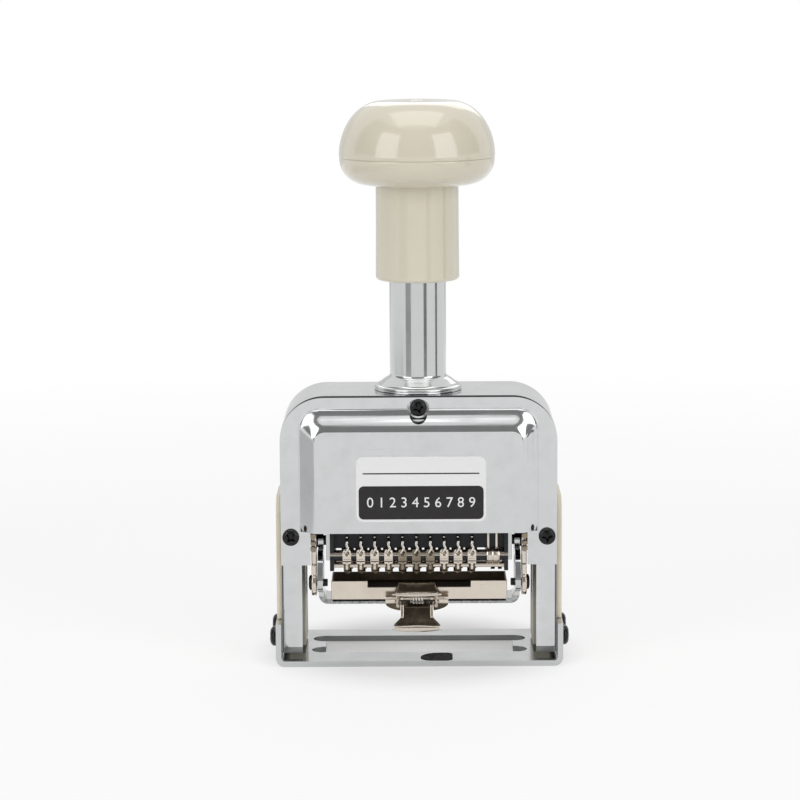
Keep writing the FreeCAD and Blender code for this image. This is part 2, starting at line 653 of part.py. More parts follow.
def make_wheel(number):
    """A number wheel: a drum, ten raised type blocks and a toothed ratchet rim."""
    middle = wheel_middle(number)
    left = middle - s.wheel_wide / 2
    right = middle + s.wheel_wide / 2
    drum = rod("X", s.drum_radius, left, right, (0, s.axle_high))
    parts = [drum]
    for digit in range(DIGIT_COUNT):
        block = doc.addObject("Part::Box", "type")
        bind(block, "Length", s.type_wide)
        bind(block, "Width", s.type_length)
        bind(block, "Height", s.type_radius - s.axle_radius * 2)
        angle = digit * 360 / DIGIT_COUNT
        turn = FreeCAD.Rotation(FreeCAD.Vector(1, 0, 0), angle)
        block.Placement = FreeCAD.Placement(FreeCAD.Vector(), turn)
        cosine = round(math.cos(math.radians(angle)), 12)
        sine = round(math.sin(math.radians(angle)), 12)
        inner, half = s.axle_radius * 2, s.type_length / 2
        move_to(block, middle - s.type_wide / 2, -half * cosine - inner * sine,
                s.axle_high - half * sine + inner * cosine)
        parts.append(block)
    bore = rod("X", s.axle_radius + s.running_gap, left - s.overrun, right + s.overrun,
               (0, s.axle_high))
    tools = [bore]
    for digit in range(DIGIT_COUNT):
        angle = math.radians((digit + 0.5) * 360 / DIGIT_COUNT)
        notch_y = s.drum_radius * round(math.sin(angle), 12)
        notch_z = s.axle_high - s.drum_radius * round(math.cos(angle), 12)
        tools.append(rod("X", s.ratchet_deep, right - s.ratchet_wide, right + s.overrun,
                         (notch_y, notch_z)))
    node(cut(fuse(parts), tools), "number_wheel_" + str(number + 1))


def make_pawl(number):
    """A nickel detent pawl that hangs on its rod in front of one wheel."""
    middle = wheel_middle(number)
    left = middle - s.pawl_wide / 2
    right = middle + s.pawl_wide / 2
    place = (-s.pawl_rod_front, s.pawl_rod_high)
    hub = rod("X", s.pawl_head, left, right, place)
    front = -s.pawl_rod_front - s.pawl_head
    stem = box((left, front, s.pawl_low), (right, front + s.pawl_thick, s.pawl_rod_high))
    ear_high = s.pawl_top - s.pawl_wide / 2
    ear = box((left, front, s.pawl_rod_high), (right, front + s.pawl_thick, ear_high))
    tip = rod("Y", s.pawl_wide / 2, front, front + s.pawl_thick, (middle, ear_high))
    bore = rod("X", s.pawl_rod_radius + s.running_gap, left - s.overrun, right + s.overrun, place)
    eye = rod("Y", s.pawl_eye, front - s.overrun, front + s.pawl_thick + s.overrun,
              (middle, ear_high))
    node(cut(fuse([hub, stem, ear, tip]), [bore, eye]), "detent_pawl_" + str(number + 1))


def make_pawl_springs():
    """Ten bent wires from the pawls up to the spring plate."""
    parts = []
    ear_high = s.pawl_top - s.pawl_wide / 2
    front = -s.pawl_rod_front - s.pawl_head
    for number in range(WHEEL_COUNT):
        middle = wheel_middle(number).value
        start = front.value - s.loose_gap.value - s.hook_wire.value
        finish = -s.hanger_plate_front.value - s.loose_gap.value - s.hook_wire.value
        bend, side = s.hook_bend.value, s.pawl_eye.value
        low = FreeCAD.Vector(middle, start, ear_high.value)
        bend_low = FreeCAD.Vector(middle + 2 * side, start, s.pawl_top.value + bend)
        bend_high = FreeCAD.Vector(middle - 2 * side, start, s.pawl_top.value + 2 * bend)
        high = FreeCAD.Vector(middle, finish, s.hook_high.value)
        curve = Part.BezierCurve()
        curve.setPoles([low, bend_low, bend_high, high])
        path = Part.Wire(curve.toShape())
        ring = Part.Wire(Part.makeCircle(s.hook_wire.value, low, curve.tangent(0)[0]))
        parts.append(path.makePipeShell([ring], True, True))
    node(feature(Part.makeCompound(parts), "wires"), "pawl_springs")


def make_feed():
    """The feed lever and the drive disc at the right end of the axle."""
    left = s.feed_x
    right = s.feed_x + s.feed_thick
    hub = rod("X", s.feed_radius, left, right, (0, s.axle_high))
    arm = box((left, -s.feed_arm_wide / 2, s.axle_high), (right, s.feed_arm_wide / 2,
                                                            s.axle_high + s.feed_arm))
    pin = rod("X", s.feed_pin_radius, left - s.wheel_pitch / 2, right,
              (0, s.axle_high + s.feed_arm - s.feed_pin_radius * 2))
    bore = rod("X", s.axle_radius + s.running_gap, left - s.overrun, right + s.overrun,
               (0, s.axle_high))
    node(cut(fuse([hub, arm, pin]), [bore]), "feed_lever")
    left = right + s.loose_gap
    right = s.plate_inner - s.loose_gap
    disc = rod("X", s.drive_disc_radius, left, right, (0, s.axle_high))
    groove = cut(rod("X", s.drive_disc_radius + s.overrun, left + s.feed_thick,
                     right - s.feed_thick, (0, s.axle_high)),
                 [rod("X", s.feed_radius, left, right, (0, s.axle_high))])
    bore = rod("X", s.axle_radius + s.running_gap, left - s.overrun, right + s.overrun,
               (0, s.axle_high))
    node(cut(disc, [groove, bore]), "repeat_spool")


def cam_path():
    """Places of the fixed cam screw seen from the swinging arm, at rest turned."""
    places = []
    for step in range(CAM_STEPS + 1):
        share = step / CAM_STEPS
        drop = s.stroke.value * share
        angle = math.radians(s.pad_swing.value * share)
        across = s.pad_pivot_front.value - s.cam_front.value
        rise = s.cam_high.value - s.pad_pivot_high.value + drop
        y = across * math.cos(angle) - rise * math.sin(angle)
        z = across * math.sin(angle) + rise * math.cos(angle)
        places.append((y - s.pad_pivot_front.value, z + s.pad_pivot_high.value))
    return places


def tube_along(points, radius, low, high):
    """A slot of a steady width through a line of places, cut along X."""
    solids = []
    for y, z in points:
        solids.append(Part.makeCylinder(radius, high - low, FreeCAD.Vector(low, y, z),
                                        FreeCAD.Vector(1, 0, 0)))
    for (y0, z0), (y1, z1) in zip(points, points[1:]):
        span = math.dist((y0, z0), (y1, z1))
        ny, nz = -(z1 - z0) / span * radius, (y1 - y0) / span * radius
        corners = [(y0 + ny, z0 + nz), (y1 + ny, z1 + nz), (y1 - ny, z1 - nz), (y0 - ny, z0 - nz)]
        wire = Part.makePolygon([FreeCAD.Vector(low, y, z) for y, z in corners + corners[:1]])
        solids.append(Part.Face(wire).extrude(FreeCAD.Vector(high - low, 0, 0)))
    return solids[0].multiFuse(solids[1:]).removeSplitter()


def make_pad():
    """The swing bracket with its cam arms, the pad tray and the felt."""
    slot_radius = s.cam_shank.value + s.cam_gap.value
    bend_top = s.bar_low + s.bracket_bend
    path = cam_path()
    arms = []
    for side in SIDES.values():
        low, high = sided(side, s.pad_arm_inner, arm_outer)
        reach = slot_radius + s.arm_edge.value
        cheek = tube_along(path, reach, low.value, high.value)
        pivot = Part.makeCylinder(s.arm_pivot_eye.value, (high - low).value,
                                  FreeCAD.Vector(low.value, -s.pad_pivot_front.value,
                                                 s.pad_pivot_high.value), FreeCAD.Vector(1, 0, 0))
        web = Part.makeBox((high - low).value, s.pad_pivot_front.value + s.bar_rear.value,
                           (s.pad_pivot_high - bend_top).value,
                           FreeCAD.Vector(low.value, -s.pad_pivot_front.value - s.arm_edge.value,
                                          bend_top.value))
        arm = cheek.fuse([pivot, web]).removeSplitter()
        slot = tube_along(path, slot_radius, low.value - s.overrun.value,
                          high.value + s.overrun.value)
        arms.append(cut(feature(arm, "arm"), [feature(slot, "slot")]))
    floor_top = s.bar_low + s.pad_arm_thick
    high = bend_top + s.arm_edge
    outline = [(-arm_outer, s.bar_low), (arm_outer, s.bar_low), (arm_outer, high),
               (s.pad_arm_inner, high), (s.pad_arm_inner, floor_top),
               (-s.pad_arm_inner, floor_top), (-s.pad_arm_inner, high), (-arm_outer, high)]
    floor = plate("Y", outline, -s.bar_front, s.bar_rear,
                  [(outline[:2], s.bracket_bend),
                   (outline[4:6], s.bracket_bend - s.pad_arm_thick)])
    whole = fuse(arms + [floor])
    hole = rod("X", s.pivot_shank + s.running_gap, -arm_outer - s.overrun, arm_outer + s.overrun,
               (-s.pad_pivot_front, s.pad_pivot_high))
    node(cut(whole, [hole]), "pad_bracket")

    half = s.tray_depth / 2
    tray_low = s.bar_low + s.pad_arm_thick
    outer = box((-s.tray_half, -half, tray_low), (s.tray_half, half, s.tray_top))
    room = box((s.tray_wall - s.tray_half, s.tray_wall - half, tray_low + s.tray_wall),
               (s.tray_half - s.tray_wall, half - s.tray_wall, s.tray_top + s.overrun))
    notch = box((-s.tray_notch_half, -half - s.overrun, s.tray_top - s.tray_notch),
                (s.tray_notch_half, s.tray_wall + s.overrun - half, s.tray_top + s.overrun))
    node(cut(outer, [room, notch]), "pad_tray")
    edge = s.tray_wall + s.felt_gap
    node(box((edge - s.tray_half, edge - half, tray_low + s.tray_wall),
             (s.tray_half - edge, half - edge, tray_low + s.tray_wall + s.felt_tall)), "ink_pad")


def make_hangers():
    """Fixed nickel hangers, their cam screws, and the arms' pivot screws."""
    for name, side in SIDES.items():
        low, high = sided(side, s.hanger_inner, hanger_outer)
        strap = box((low, -s.cam_front - s.hanger_foot, s.cam_high),
                    (high, -s.cam_front + s.hanger_foot, s.hanger_top))
        end = rod("X", s.hanger_round, low, high, (-s.cam_front, s.cam_high))
        foot_low_x, foot_high_x = sided(side, s.hanger_inner, leg_inner)
        foot = box((foot_low_x, -case_face, s.hanger_top - s.hanger_foot * 2),
                   (foot_high_x, s.hanger_thick - case_face, s.hanger_top))
        hole = rod("X", s.cam_shank + s.running_gap, low - s.overrun, high + s.overrun,
                   (-s.cam_front, s.cam_high))
        front_trim = box((low - s.overrun, -case_face - s.hanger_round, s.cover_low),
                         (high + s.overrun, -case_face, s.hanger_top + s.overrun))
        node(cut(fuse([strap, end, foot]), [hole, front_trim]), "pad_hanger_" + name)
    cams, pivots = [], []
    for side in SIDES.values():
        low, high = sided(side, hanger_outer, hanger_outer + s.cam_head_tall)
        head = rod("X", s.cam_head, low, high, (-s.cam_front, s.cam_high))
        low, high = sided(side, s.pad_arm_inner - s.cam_tip, hanger_outer)
        cams.append(fuse([head, rod("X", s.cam_shank, low, high, (-s.cam_front, s.cam_high))]))
        place = (-s.pad_pivot_front, s.pad_pivot_high)
        low, high = sided(side, arm_outer, arm_outer + s.pivot_head_tall)
        head = rod("X", s.pivot_head, low, high, place)
        low, high = sided(side, s.plate_inner, arm_outer)
        pivots.append(fuse([head, rod("X", s.pivot_shank, low, high, place)]))
    node(pair(cams), "cam_screws")
    node(pair(pivots), "pivot_screws")


def leaf(points, half, thick):
    """A bent strip of sheet across the clip, following a line of places."""
    body = []
    for (y0, z0), (y1, z1) in zip(points, points[1:]):
        span = math.dist((y0, z0), (y1, z1))
        ny, nz = -(z1 - z0) / span * thick / 2, (y1 - y0) / span * thick / 2
        corners = [(y0 + ny, z0 + nz), (y1 + ny, z1 + nz), (y1 - ny, z1 - nz), (y0 - ny, z0 - nz)]
        middle = s.clip_mid.value
        wire = Part.makePolygon([FreeCAD.Vector(middle - half, y, z)
                                 for y, z in corners + corners[:1]])
        body.append(Part.Face(wire).extrude(FreeCAD.Vector(2 * half, 0, 0)))
    for y, z in points[1:-1]:
        body.append(Part.makeCylinder(thick / 2, 2 * half,
                                      FreeCAD.Vector(s.clip_mid.value - half, y, z),
                                      FreeCAD.Vector(1, 0, 0)))
    return body[0].multiFuse(body[1:]).removeSplitter() if len(body) > 1 else body[0]


def make_clip():
    """The sprung clip that holds the tray on the bracket."""
    y, z = -s.clip_pin_front.value, s.clip_pin_high.value
    thick, reach = s.clip_thick.value, s.clip_reach.value
    half, waist = s.clip_half.value, s.clip_waist.value
    ear, pin_radius = s.clip_ear.value, s.clip_pin_radius.value
    axis = FreeCAD.Vector(1, 0, 0)
    middle = s.clip_mid.value

    def ears(inner, end):
        """Two side arms from the pin to a leaf, inner millimetres from the middle."""
        solids = []
        for side in SIDES.values():
            low = middle + side * inner - thick
            solids.append(tube_along([(y, z), end], ear - thick, low, low + 2 * thick))
            solids.append(Part.makeCylinder(ear, 2 * thick, FreeCAD.Vector(low, y, z), axis))
        return solids

    bore = Part.makeCylinder(pin_radius + s.running_gap.value, 4 * half,
                             FreeCAD.Vector(middle - 2 * half, y, z), axis)
    front_share, up_share = UPPER_ROOT_SHARES
    root = (y - reach * front_share, z + reach * up_share)
    crest = (y - reach * UPPER_CREST_SHARE, s.clip_upper_top.value)
    swell = (y - reach * UPPER_SWELL_SHARE, (root[1] + crest[1]) / 2)
    upper = leaf([root, swell, crest], half, thick)
    arm_end = (y - reach * UPPER_ARM_SHARE, root[1])
    upper = upper.fuse(ears(waist, arm_end)).cut(bore).removeSplitter()
    node(feature(upper, "leaf_up"), "clip_upper")
    low = s.clip_lower_low.value
    inner_waist = waist - s.clip_nest.value
    front_share, down_share = LOWER_ROOT_SHARES
    root = (y - reach * front_share, z - reach * down_share)
    front_share, down_share = LOWER_KNEE_SHARES
    knee = (y - reach * front_share, z - reach * down_share)
    toe = (y - reach, low)
    lower = leaf([root, knee, toe], inner_waist + thick, thick)
    flare_top = (knee[0] + (toe[0] - knee[0]) * FLARE_SHARE,
                 knee[1] + (toe[1] - knee[1]) * FLARE_SHARE)
    flare = leaf([flare_top, toe], half, thick)
    lower = lower.fuse([flare] + ears(inner_waist, root)).cut(bore).removeSplitter()
    node(feature(lower, "leaf_low"), "clip_lower")

    foot_half = s.clip_foot_half.value
    pin = Part.makeCylinder(pin_radius, 2 * foot_half,
                            FreeCAD.Vector(middle - foot_half, y, z), axis)
    lugs = []
    for side in SIDES.values():
        low_x = middle + side * (foot_half - thick) - thick
        lugs.append(Part.makeBox(2 * thick, -s.bar_front.value - y + ear,
                                 s.pad_arm_thick.value,
                                 FreeCAD.Vector(low_x, y - ear, s.bar_low.value)))
        lugs.append(Part.makeBox(2 * thick, 2 * ear, z + ear - s.bar_low.value,
                                 FreeCAD.Vector(low_x, y - ear, s.bar_low.value)))
    back = -s.bar_front.value + ear
    lugs.append(Part.makeBox(2 * foot_half, back - y + thick, thick,
                             FreeCAD.Vector(middle - foot_half, y - thick,
                                            s.bar_low.value - thick)))
    drop = s.clip_foot_drop.value
    lugs.append(Part.makeBox(2 * foot_half, thick, drop,
                             FreeCAD.Vector(middle - foot_half, back - thick,
                                            s.bar_low.value - drop)))
    node(feature(pin.fuse(lugs).removeSplitter(), "pin"), "clip_pin")
    length = 2 * (inner_waist - s.clip_nest.value)
    wound = coil(s.clip_coil.value, s.clip_coil_wire.value, length, s.clip_coil_turns.value)
    place = FreeCAD.Placement(FreeCAD.Vector(middle - length / 2, y, z), ALONG["X"])
    node(feature(wound, "wound", place), "clip_spring")


make_base()
make_base_screws()
for side_name, side_sign in SIDES.items():
    make_leg(side_name, side_sign)
make_case()
make_cover("front_cover", False)
make_cover("rear_cover", True)
make_cover_screws()
make_label()
make_barrel()
make_knob()
make_plunger()
make_yoke()
make_carriage()
for wheel_number in range(WHEEL_COUNT):
    make_wheel(wheel_number)
    make_pawl(wheel_number)
make_pawl_springs()
make_feed()
make_pad()
make_hangers()
make_clip()

doc.recompute()
failed = [item.Label for item in doc.Objects if "Invalid" in item.State or "Error" in item.State]
failed += [item.Label for item in nodes if item.Shape.isNull() or not item.Shape.isValid()]
if failed:
    raise RuntimeError("failed to compute: " + ", ".join(failed))
os.makedirs("parts", exist_ok=True)
for item in nodes:
    item.Shape.exportStep("parts/" + item.Label + ".step")
    print(item.Label, len(item.Shape.Solids), round(item.Shape.Volume, 2))
print("nodes", len(nodes))
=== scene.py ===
# %% [markdown]
# # Numbering machine
# The imported model is loaded first and stays fixed, and the finished pieces are put where it says. A
# few small ones that it doesn't have are placed one by one: the eyes of the covers, the bushes on the
# hangers, the small spool and strips, the clip's tabs and foot, and the dark patch on the base.

import json
import math

import bpy
from mathutils import Matrix, Vector


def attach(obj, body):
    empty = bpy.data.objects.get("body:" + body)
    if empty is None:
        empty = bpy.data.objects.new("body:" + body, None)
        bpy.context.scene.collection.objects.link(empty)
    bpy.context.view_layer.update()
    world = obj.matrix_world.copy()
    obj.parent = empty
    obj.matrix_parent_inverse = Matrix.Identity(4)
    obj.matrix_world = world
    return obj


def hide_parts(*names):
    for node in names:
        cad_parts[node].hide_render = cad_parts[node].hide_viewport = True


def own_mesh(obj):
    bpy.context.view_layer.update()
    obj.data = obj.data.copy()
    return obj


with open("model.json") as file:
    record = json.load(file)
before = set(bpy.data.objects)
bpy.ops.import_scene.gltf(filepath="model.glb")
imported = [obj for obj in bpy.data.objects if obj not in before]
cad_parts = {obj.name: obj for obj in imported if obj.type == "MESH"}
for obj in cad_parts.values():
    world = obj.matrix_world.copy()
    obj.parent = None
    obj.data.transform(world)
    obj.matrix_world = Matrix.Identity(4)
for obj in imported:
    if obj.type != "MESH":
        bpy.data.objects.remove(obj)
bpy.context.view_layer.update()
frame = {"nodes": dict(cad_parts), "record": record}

# %% [markdown]
# ## Small helpers
# Operators act on whatever is selected, so each step first selects just what it needs. Sizes are
# written in millimetres and turned into metres with one named value.

# %% Helpers for selecting and for edit mode
MM = 0.001
scene = bpy.context.scene
BODY_OF = {node: body for body, members in frame["record"]["behaviour"]["bodies"].items()
           for node in members}


def only(piece):
    """Make one object the selected and active one."""
    for other in bpy.context.selected_objects:
        other.select_set(False)
    piece.select_set(True)
    bpy.context.view_layer.objects.active = piece
    return piece


def added(name=None):
    """The object that the last primitive operator made."""
    piece = only(bpy.context.view_layer.objects.active)
    if name:
        piece.name = name
    return piece


def edit_all(*steps):
    """Run edit-mode steps on everything in the active mesh."""
    bpy.ops.object.mode_set(mode="EDIT")
    bpy.ops.mesh.select_all(action="SELECT")
    for step in steps:
        step()
    bpy.ops.object.mode_set(mode="OBJECT")


def pick(piece, kind, test):
    """Go into edit mode with only those faces, edges or points selected that pass a test."""
    only(piece)
    mode, items = {"faces": ("FACE", "polygons"), "edges": ("EDGE", "edges"),
                   "points": ("VERT", "vertices")}[kind]
    bpy.ops.object.mode_set(mode="EDIT")
    bpy.ops.mesh.select_mode(type=mode)
    bpy.ops.mesh.select_all(action="DESELECT")
    bpy.ops.object.mode_set(mode="OBJECT")
    for item in getattr(piece.data, items):
        item.select = bool(test(item))
    bpy.ops.object.mode_set(mode="EDIT")


def ends(piece, edge):
    """The two end points of an edge, in mm."""
    return [piece.data.vertices[index].co / MM for index in edge.vertices]


def done():
    """Leave edit mode."""
    bpy.ops.mesh.select_mode(type="VERT")
    bpy.ops.object.mode_set(mode="OBJECT")


# %% Helpers for rounding and shading
def round_along(piece, axis, radius, test=lambda middle: True, least=1e-4):
    """Round the edges that run along an axis and whose middle passes a test, in mm."""
    def chosen(edge):
        near, far = ends(piece, edge)
        return abs((near - far)[axis]) > least and test((near + far) / 2)

    pick(piece, "edges", chosen)
    bpy.ops.mesh.bevel(offset=radius * MM, segments=8, affect="EDGES")
    done()


def smooth(sharpest):
    """Shade the active piece smooth, but for edges sharper than an angle in degrees."""
    bpy.ops.object.shade_smooth_by_angle(angle=math.radians(sharpest))


def moved(*spot):
    """The matrix of a move to a place in mm."""
    return Matrix.Translation(Vector(spot) * MM)


def triangles(piece):
    """How many triangles a mesh comes to."""
    return sum(len(face.vertices) - 2 for face in piece.data.polygons)


# %% Helpers for modifiers and meshes
def modify(piece, kind, **values):
    """Add one modifier with its values and apply it."""
    only(piece)
    modifier = piece.modifiers.new(kind.lower(), kind)
    for label, value in values.items():
        setattr(modifier, label, value)
    bpy.ops.object.modifier_apply(modifier=modifier.name)
    return piece


def settle(piece):
    """Put the object's place into its mesh, so that the object sits at the origin."""
    bpy.context.view_layer.update()
    piece.data.transform(piece.matrix_world)
    piece.matrix_world = Matrix.Identity(4)
    return piece


def clean(piece, merge=1e-6):
    """Join doubled points and turn every face outwards."""
    only(piece)
    edit_all(lambda: bpy.ops.mesh.remove_doubles(threshold=merge),
             lambda: bpy.ops.mesh.normals_make_consistent(inside=False))
    return piece


def round_edges(piece, width, segments=2, corner=32, sharpest=34, weighted=True):
    """Round every edge sharper than a corner, and keep flat faces flat in reflections."""
    modify(piece, "BEVEL", width=width * MM, segments=segments, limit_method="ANGLE",
           angle_limit=math.radians(corner), use_clamp_overlap=True)
    smooth(sharpest)
    if weighted:
        modify(piece, "WEIGHTED_NORMAL", keep_sharp=True)
    return piece


# %% Helpers for copies, materials and bodies
def joined(name, pieces):
    """Several objects made one mesh."""
    only(pieces[0])
    for piece in pieces[1:]:
        piece.select_set(True)
    if len(pieces) > 1:
        bpy.ops.object.join()
    pieces[0].name = name
    return pieces[0]


def eased(piece, width):
    """Round a small piece's edges, with plain normals."""
    return round_edges(piece, width, weighted=False)


def copy_of(piece, name, change=None):
    """A copy with its own mesh, moved by a matrix."""
    twin = piece.copy()
    twin.data = piece.data.copy()
    twin.name = name
    scene.collection.objects.link(twin)
    if change is not None:
        twin.data.transform(change)
    return twin


def paint(piece, *finishes):
    """Give a piece its materials."""
    piece.data.materials.clear()
    for finish_used in finishes:
        piece.data.materials.append(finish_used)
    return piece


def fit(piece, body, finish_used=None, stands_for=()):
    """Hang a finished piece on its body, and hide the nodes that it stands for."""
    if finish_used:
        paint(piece, finish_used)
    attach(piece, body)
    if stands_for:
        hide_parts(*stands_for)
    return piece


# %% [markdown]
# ## Camera, floor and light
# A product photo like this is taken with a long lens from a little above, between two tall soft
# lamps in a white tent. Plated metal has no colour of its own and shows only what is around it, so
# the dim side of the room where the camera stands is there too, as cards that are seen in
# reflections alone.

# %% Camera
CAMERA_PLACE = Vector((-1.0, -781.1, 194.0)) * MM
CAMERA_DOWN = math.radians(8.896)
CAMERA_TURN = math.radians(0.299)
CAMERA_ROLL = math.radians(-0.35)
CAMERA_LENS = 127.4

bpy.ops.object.camera_add(location=CAMERA_PLACE)
camera = bpy.context.view_layer.objects.active
camera.name = "photo_camera"
aim = (Matrix.Rotation(CAMERA_TURN, 4, "Z") @ Matrix.Rotation(math.pi / 2 - CAMERA_DOWN, 4, "X")
       @ Matrix.Rotation(CAMERA_ROLL, 4, "Z"))
camera.matrix_world = Matrix.Translation(CAMERA_PLACE) @ aim
camera.data.lens = CAMERA_LENS
camera.data.sensor_width = 36.0
camera.data.dof.use_dof = False
scene.camera = camera
scene.view_settings.view_transform = "Standard"
print("camera", [round(value / MM, 1) for value in camera.location], "mm")


# %% Helpers for shader nodes
def with_values(holder, **values):
    """Set a node's inputs by name, with _ for each space in it."""
    for label, value in values.items():
        holder.inputs[label.replace("_", " ")].default_value = value
    return holder


def shader_node(tree, kind, operation=None, **values):
    """A new shader node with its operation and the values of its inputs."""
    made = tree.nodes.new("ShaderNode" + kind)
    if operation:
        made.operation = operation
    return with_values(made, **values)


def wire_up(tree, *pairs):
    """Link outputs to inputs, pair by pair."""
    for source, target in pairs:
        tree.links.new(source, target)


# %% Floor that fades into the white tent
def light_seen(tree):
    """A value of 1 for rays that show the background, and 0 for rays that light the object."""
    path = shader_node(tree, "LightPath")
    either, any_of = shader_node(tree, "Math", "MAXIMUM"), shader_node(tree, "Math", "MAXIMUM")
    wire_up(tree, (path.outputs["Is Camera Ray"], either.inputs[0]),
            (path.outputs["Is Glossy Ray"], either.inputs[1]), (either.outputs[0], any_of.inputs[0]),
            (path.outputs["Is Transmission Ray"], any_of.inputs[1]))
    return any_of.outputs[0]


FLOOR_SIZE = 8.0
FLOOR_WHITE = 0.93
FLOOR_NEAR = 0.22
FLOOR_FAR = 0.55
FLOOR_GLOW = 0.72
UNDER_NEAR = 0.030
UNDER_FAR = 0.048
UNDER_GLOW = 0.25

bpy.ops.mesh.primitive_plane_add(size=FLOOR_SIZE, location=(0, 0, 0))
floor = added("studio_floor")
paper = bpy.data.materials.new("floor_paper")
paper.use_nodes = True
tree = paper.node_tree
matte = with_values(tree.nodes["Principled BSDF"], Roughness=0.9, Specular_IOR_Level=0.0,
                    Base_Color=(FLOOR_WHITE, FLOOR_WHITE, FLOOR_WHITE, 1))
glow, clear = shader_node(tree, "Emission"), shader_node(tree, "BsdfTransparent")
lifted, faded = shader_node(tree, "MixShader"), shader_node(tree, "MixShader")
away = shader_node(tree, "VectorMath", "LENGTH")
share = shader_node(tree, "Math", "MULTIPLY")
fade = shader_node(tree, "MapRange", From_Min=FLOOR_NEAR, From_Max=FLOOR_FAR)
under = shader_node(tree, "MapRange", From_Min=UNDER_NEAR, From_Max=UNDER_FAR, To_Min=UNDER_GLOW,
                    To_Max=FLOOR_GLOW)
wire_up(tree, (shader_node(tree, "TexCoord").outputs["Object"], away.inputs[0]),
        (away.outputs["Value"], fade.inputs["Value"]), (away.outputs["Value"], under.inputs["Value"]),
        (light_seen(tree), share.inputs[0]), (under.outputs["Result"], share.inputs[1]),
        (share.outputs[0], lifted.inputs[0]), (matte.outputs[0], lifted.inputs[1]),
        (glow.outputs[0], lifted.inputs[2]), (fade.outputs["Result"], faded.inputs[0]),
        (lifted.outputs[0], faded.inputs[1]), (clear.outputs[0], faded.inputs[2]),
        (faded.outputs[0], tree.nodes["Material Output"].inputs["Surface"]))
paint(floor, paper)
print("floor", FLOOR_SIZE, "m wide")


# %% Cards that only reflections see
def glow_material(name, level):
    """A plain even grey that gives no light of its own to the object."""
    material = bpy.data.materials.new(name)
    material.use_nodes = True
    tree = material.node_tree
    light = shader_node(tree, "Emission", Color=(level, level, level, 1))
    tree.links.new(light.outputs[0], tree.nodes["Material Output"].inputs["Surface"])
    return material


def reflected_only(sheet, level):
    """Make a stage card that is seen in reflections and nowhere else."""
    paint(sheet, glow_material(sheet.name + "_tone", level))
    sheet.visible_camera = False
    sheet.visible_shadow = False
    sheet.visible_diffuse = False
    sheet.visible_transmission = False
    return sheet


def card(name, location, size, towards, level):
    """A flat card that faces a point."""
    bpy.ops.mesh.primitive_plane_add(size=1.0, location=location)
    sheet = added(name)
    sheet.scale = (size[0], size[1], 1)
    sheet.rotation_euler = (Vector(towards) - Vector(location)).to_track_quat("Z", "Y").to_euler()
    return reflected_only(sheet, level)


ROOM_RADIUS = 1.6
ROOM_LOW = 0.20
ROOM_HIGH = 2.3
ROOM_TURN = math.radians(104)
ROOM_TONE = 0.26
bpy.ops.mesh.primitive_cylinder_add(vertices=96, radius=ROOM_RADIUS, depth=ROOM_HIGH - ROOM_LOW,
                                    end_fill_type="NOTHING",
                                    location=(0, 0, (ROOM_HIGH + ROOM_LOW) / 2))
room = added("card_room")
pick(room, "faces", lambda face: abs(math.atan2(face.center.x, -face.center.y)) > ROOM_TURN)
bpy.ops.mesh.delete(type="FACE")
done()
reflected_only(room, ROOM_TONE)
LOW_CARD_FAR = 0.5
LOW_CARD_HIGH = 0.05
LOW_CARD_TALL = 0.10
for number, (turn, wide, shade) in enumerate(((-39, 0.20, 0.42), (30, 0.11, 0.22), (80, 0.08, 0.14))):
    angle = math.radians(turn)
    spot = Vector((LOW_CARD_FAR * math.sin(angle), -LOW_CARD_FAR * math.cos(angle), LOW_CARD_HIGH))
    card("card_low_" + str(number + 1), spot, (wide, LOW_CARD_TALL), (0, 0, LOW_CARD_HIGH), shade)
card("card_floor_left", (-0.36, -0.04, 0.003), (0.34, 0.42), (-0.36, -0.04, 1.0), 0.62)
card("card_back", (0, 1.3, 0.30), (2.6, 0.8), (0, 0, 0.30), 0.74)


# %% Lamps and the tent
MIDDLE = (0, 0, 60 * MM)


def lamp(name, location, size, radiance, towards=MIDDLE):
    """A soft rectangular lamp of an even brightness."""
    bpy.ops.object.light_add(type="AREA", location=location)
    light = bpy.context.view_layer.objects.active
    light.name = name
    light.data.shape = "RECTANGLE"
    light.data.size, light.data.size_y = size
    light.data.energy = radiance * math.pi * size[0] * size[1]
    light.rotation_euler = (Vector(towards) - Vector(location)).to_track_quat("-Z", "Y").to_euler()
    return light


LAMP_FAR = 1.0
LAMP_HIGH = 0.52
LAMP_SIZE = (0.62, 0.85)
LAMP_AIM = (0, 0, 0.40)
for name, turn, radiance in (("lamp_left", -46, 2.1), ("lamp_right", 44, 2.2)):
    angle = math.radians(turn)
    lamp(name, (LAMP_FAR * math.sin(angle), -LAMP_FAR * math.cos(angle), LAMP_HIGH), LAMP_SIZE,
         radiance, LAMP_AIM)
lamp("lamp_over", (0, -0.12, 1.1), (0.9, 0.75), 1.35)
lamp("lamp_back", (0.1, 0.95, 0.65), (0.7, 0.6), 1.0)

WORLD_LIGHT = 0.44
world = bpy.data.worlds.new("tent")
scene.world = world
world.use_nodes = True
tree = world.node_tree
background = with_values(tree.nodes["Background"], Color=(1, 1, 1, 1))
level = shader_node(tree, "MapRange", To_Min=WORLD_LIGHT, To_Max=1.0)
wire_up(tree, (light_seen(tree), level.inputs["Value"]),
        (level.outputs["Result"], background.inputs["Strength"]))

# %% [markdown]
# ## Shared surface effects
# Four effects are used by several finishes, so each is one node group with named inputs: the slight
# unevenness of plating, the fine scratches of use, the skin of moulded plastic, and a thin film of
# dust.


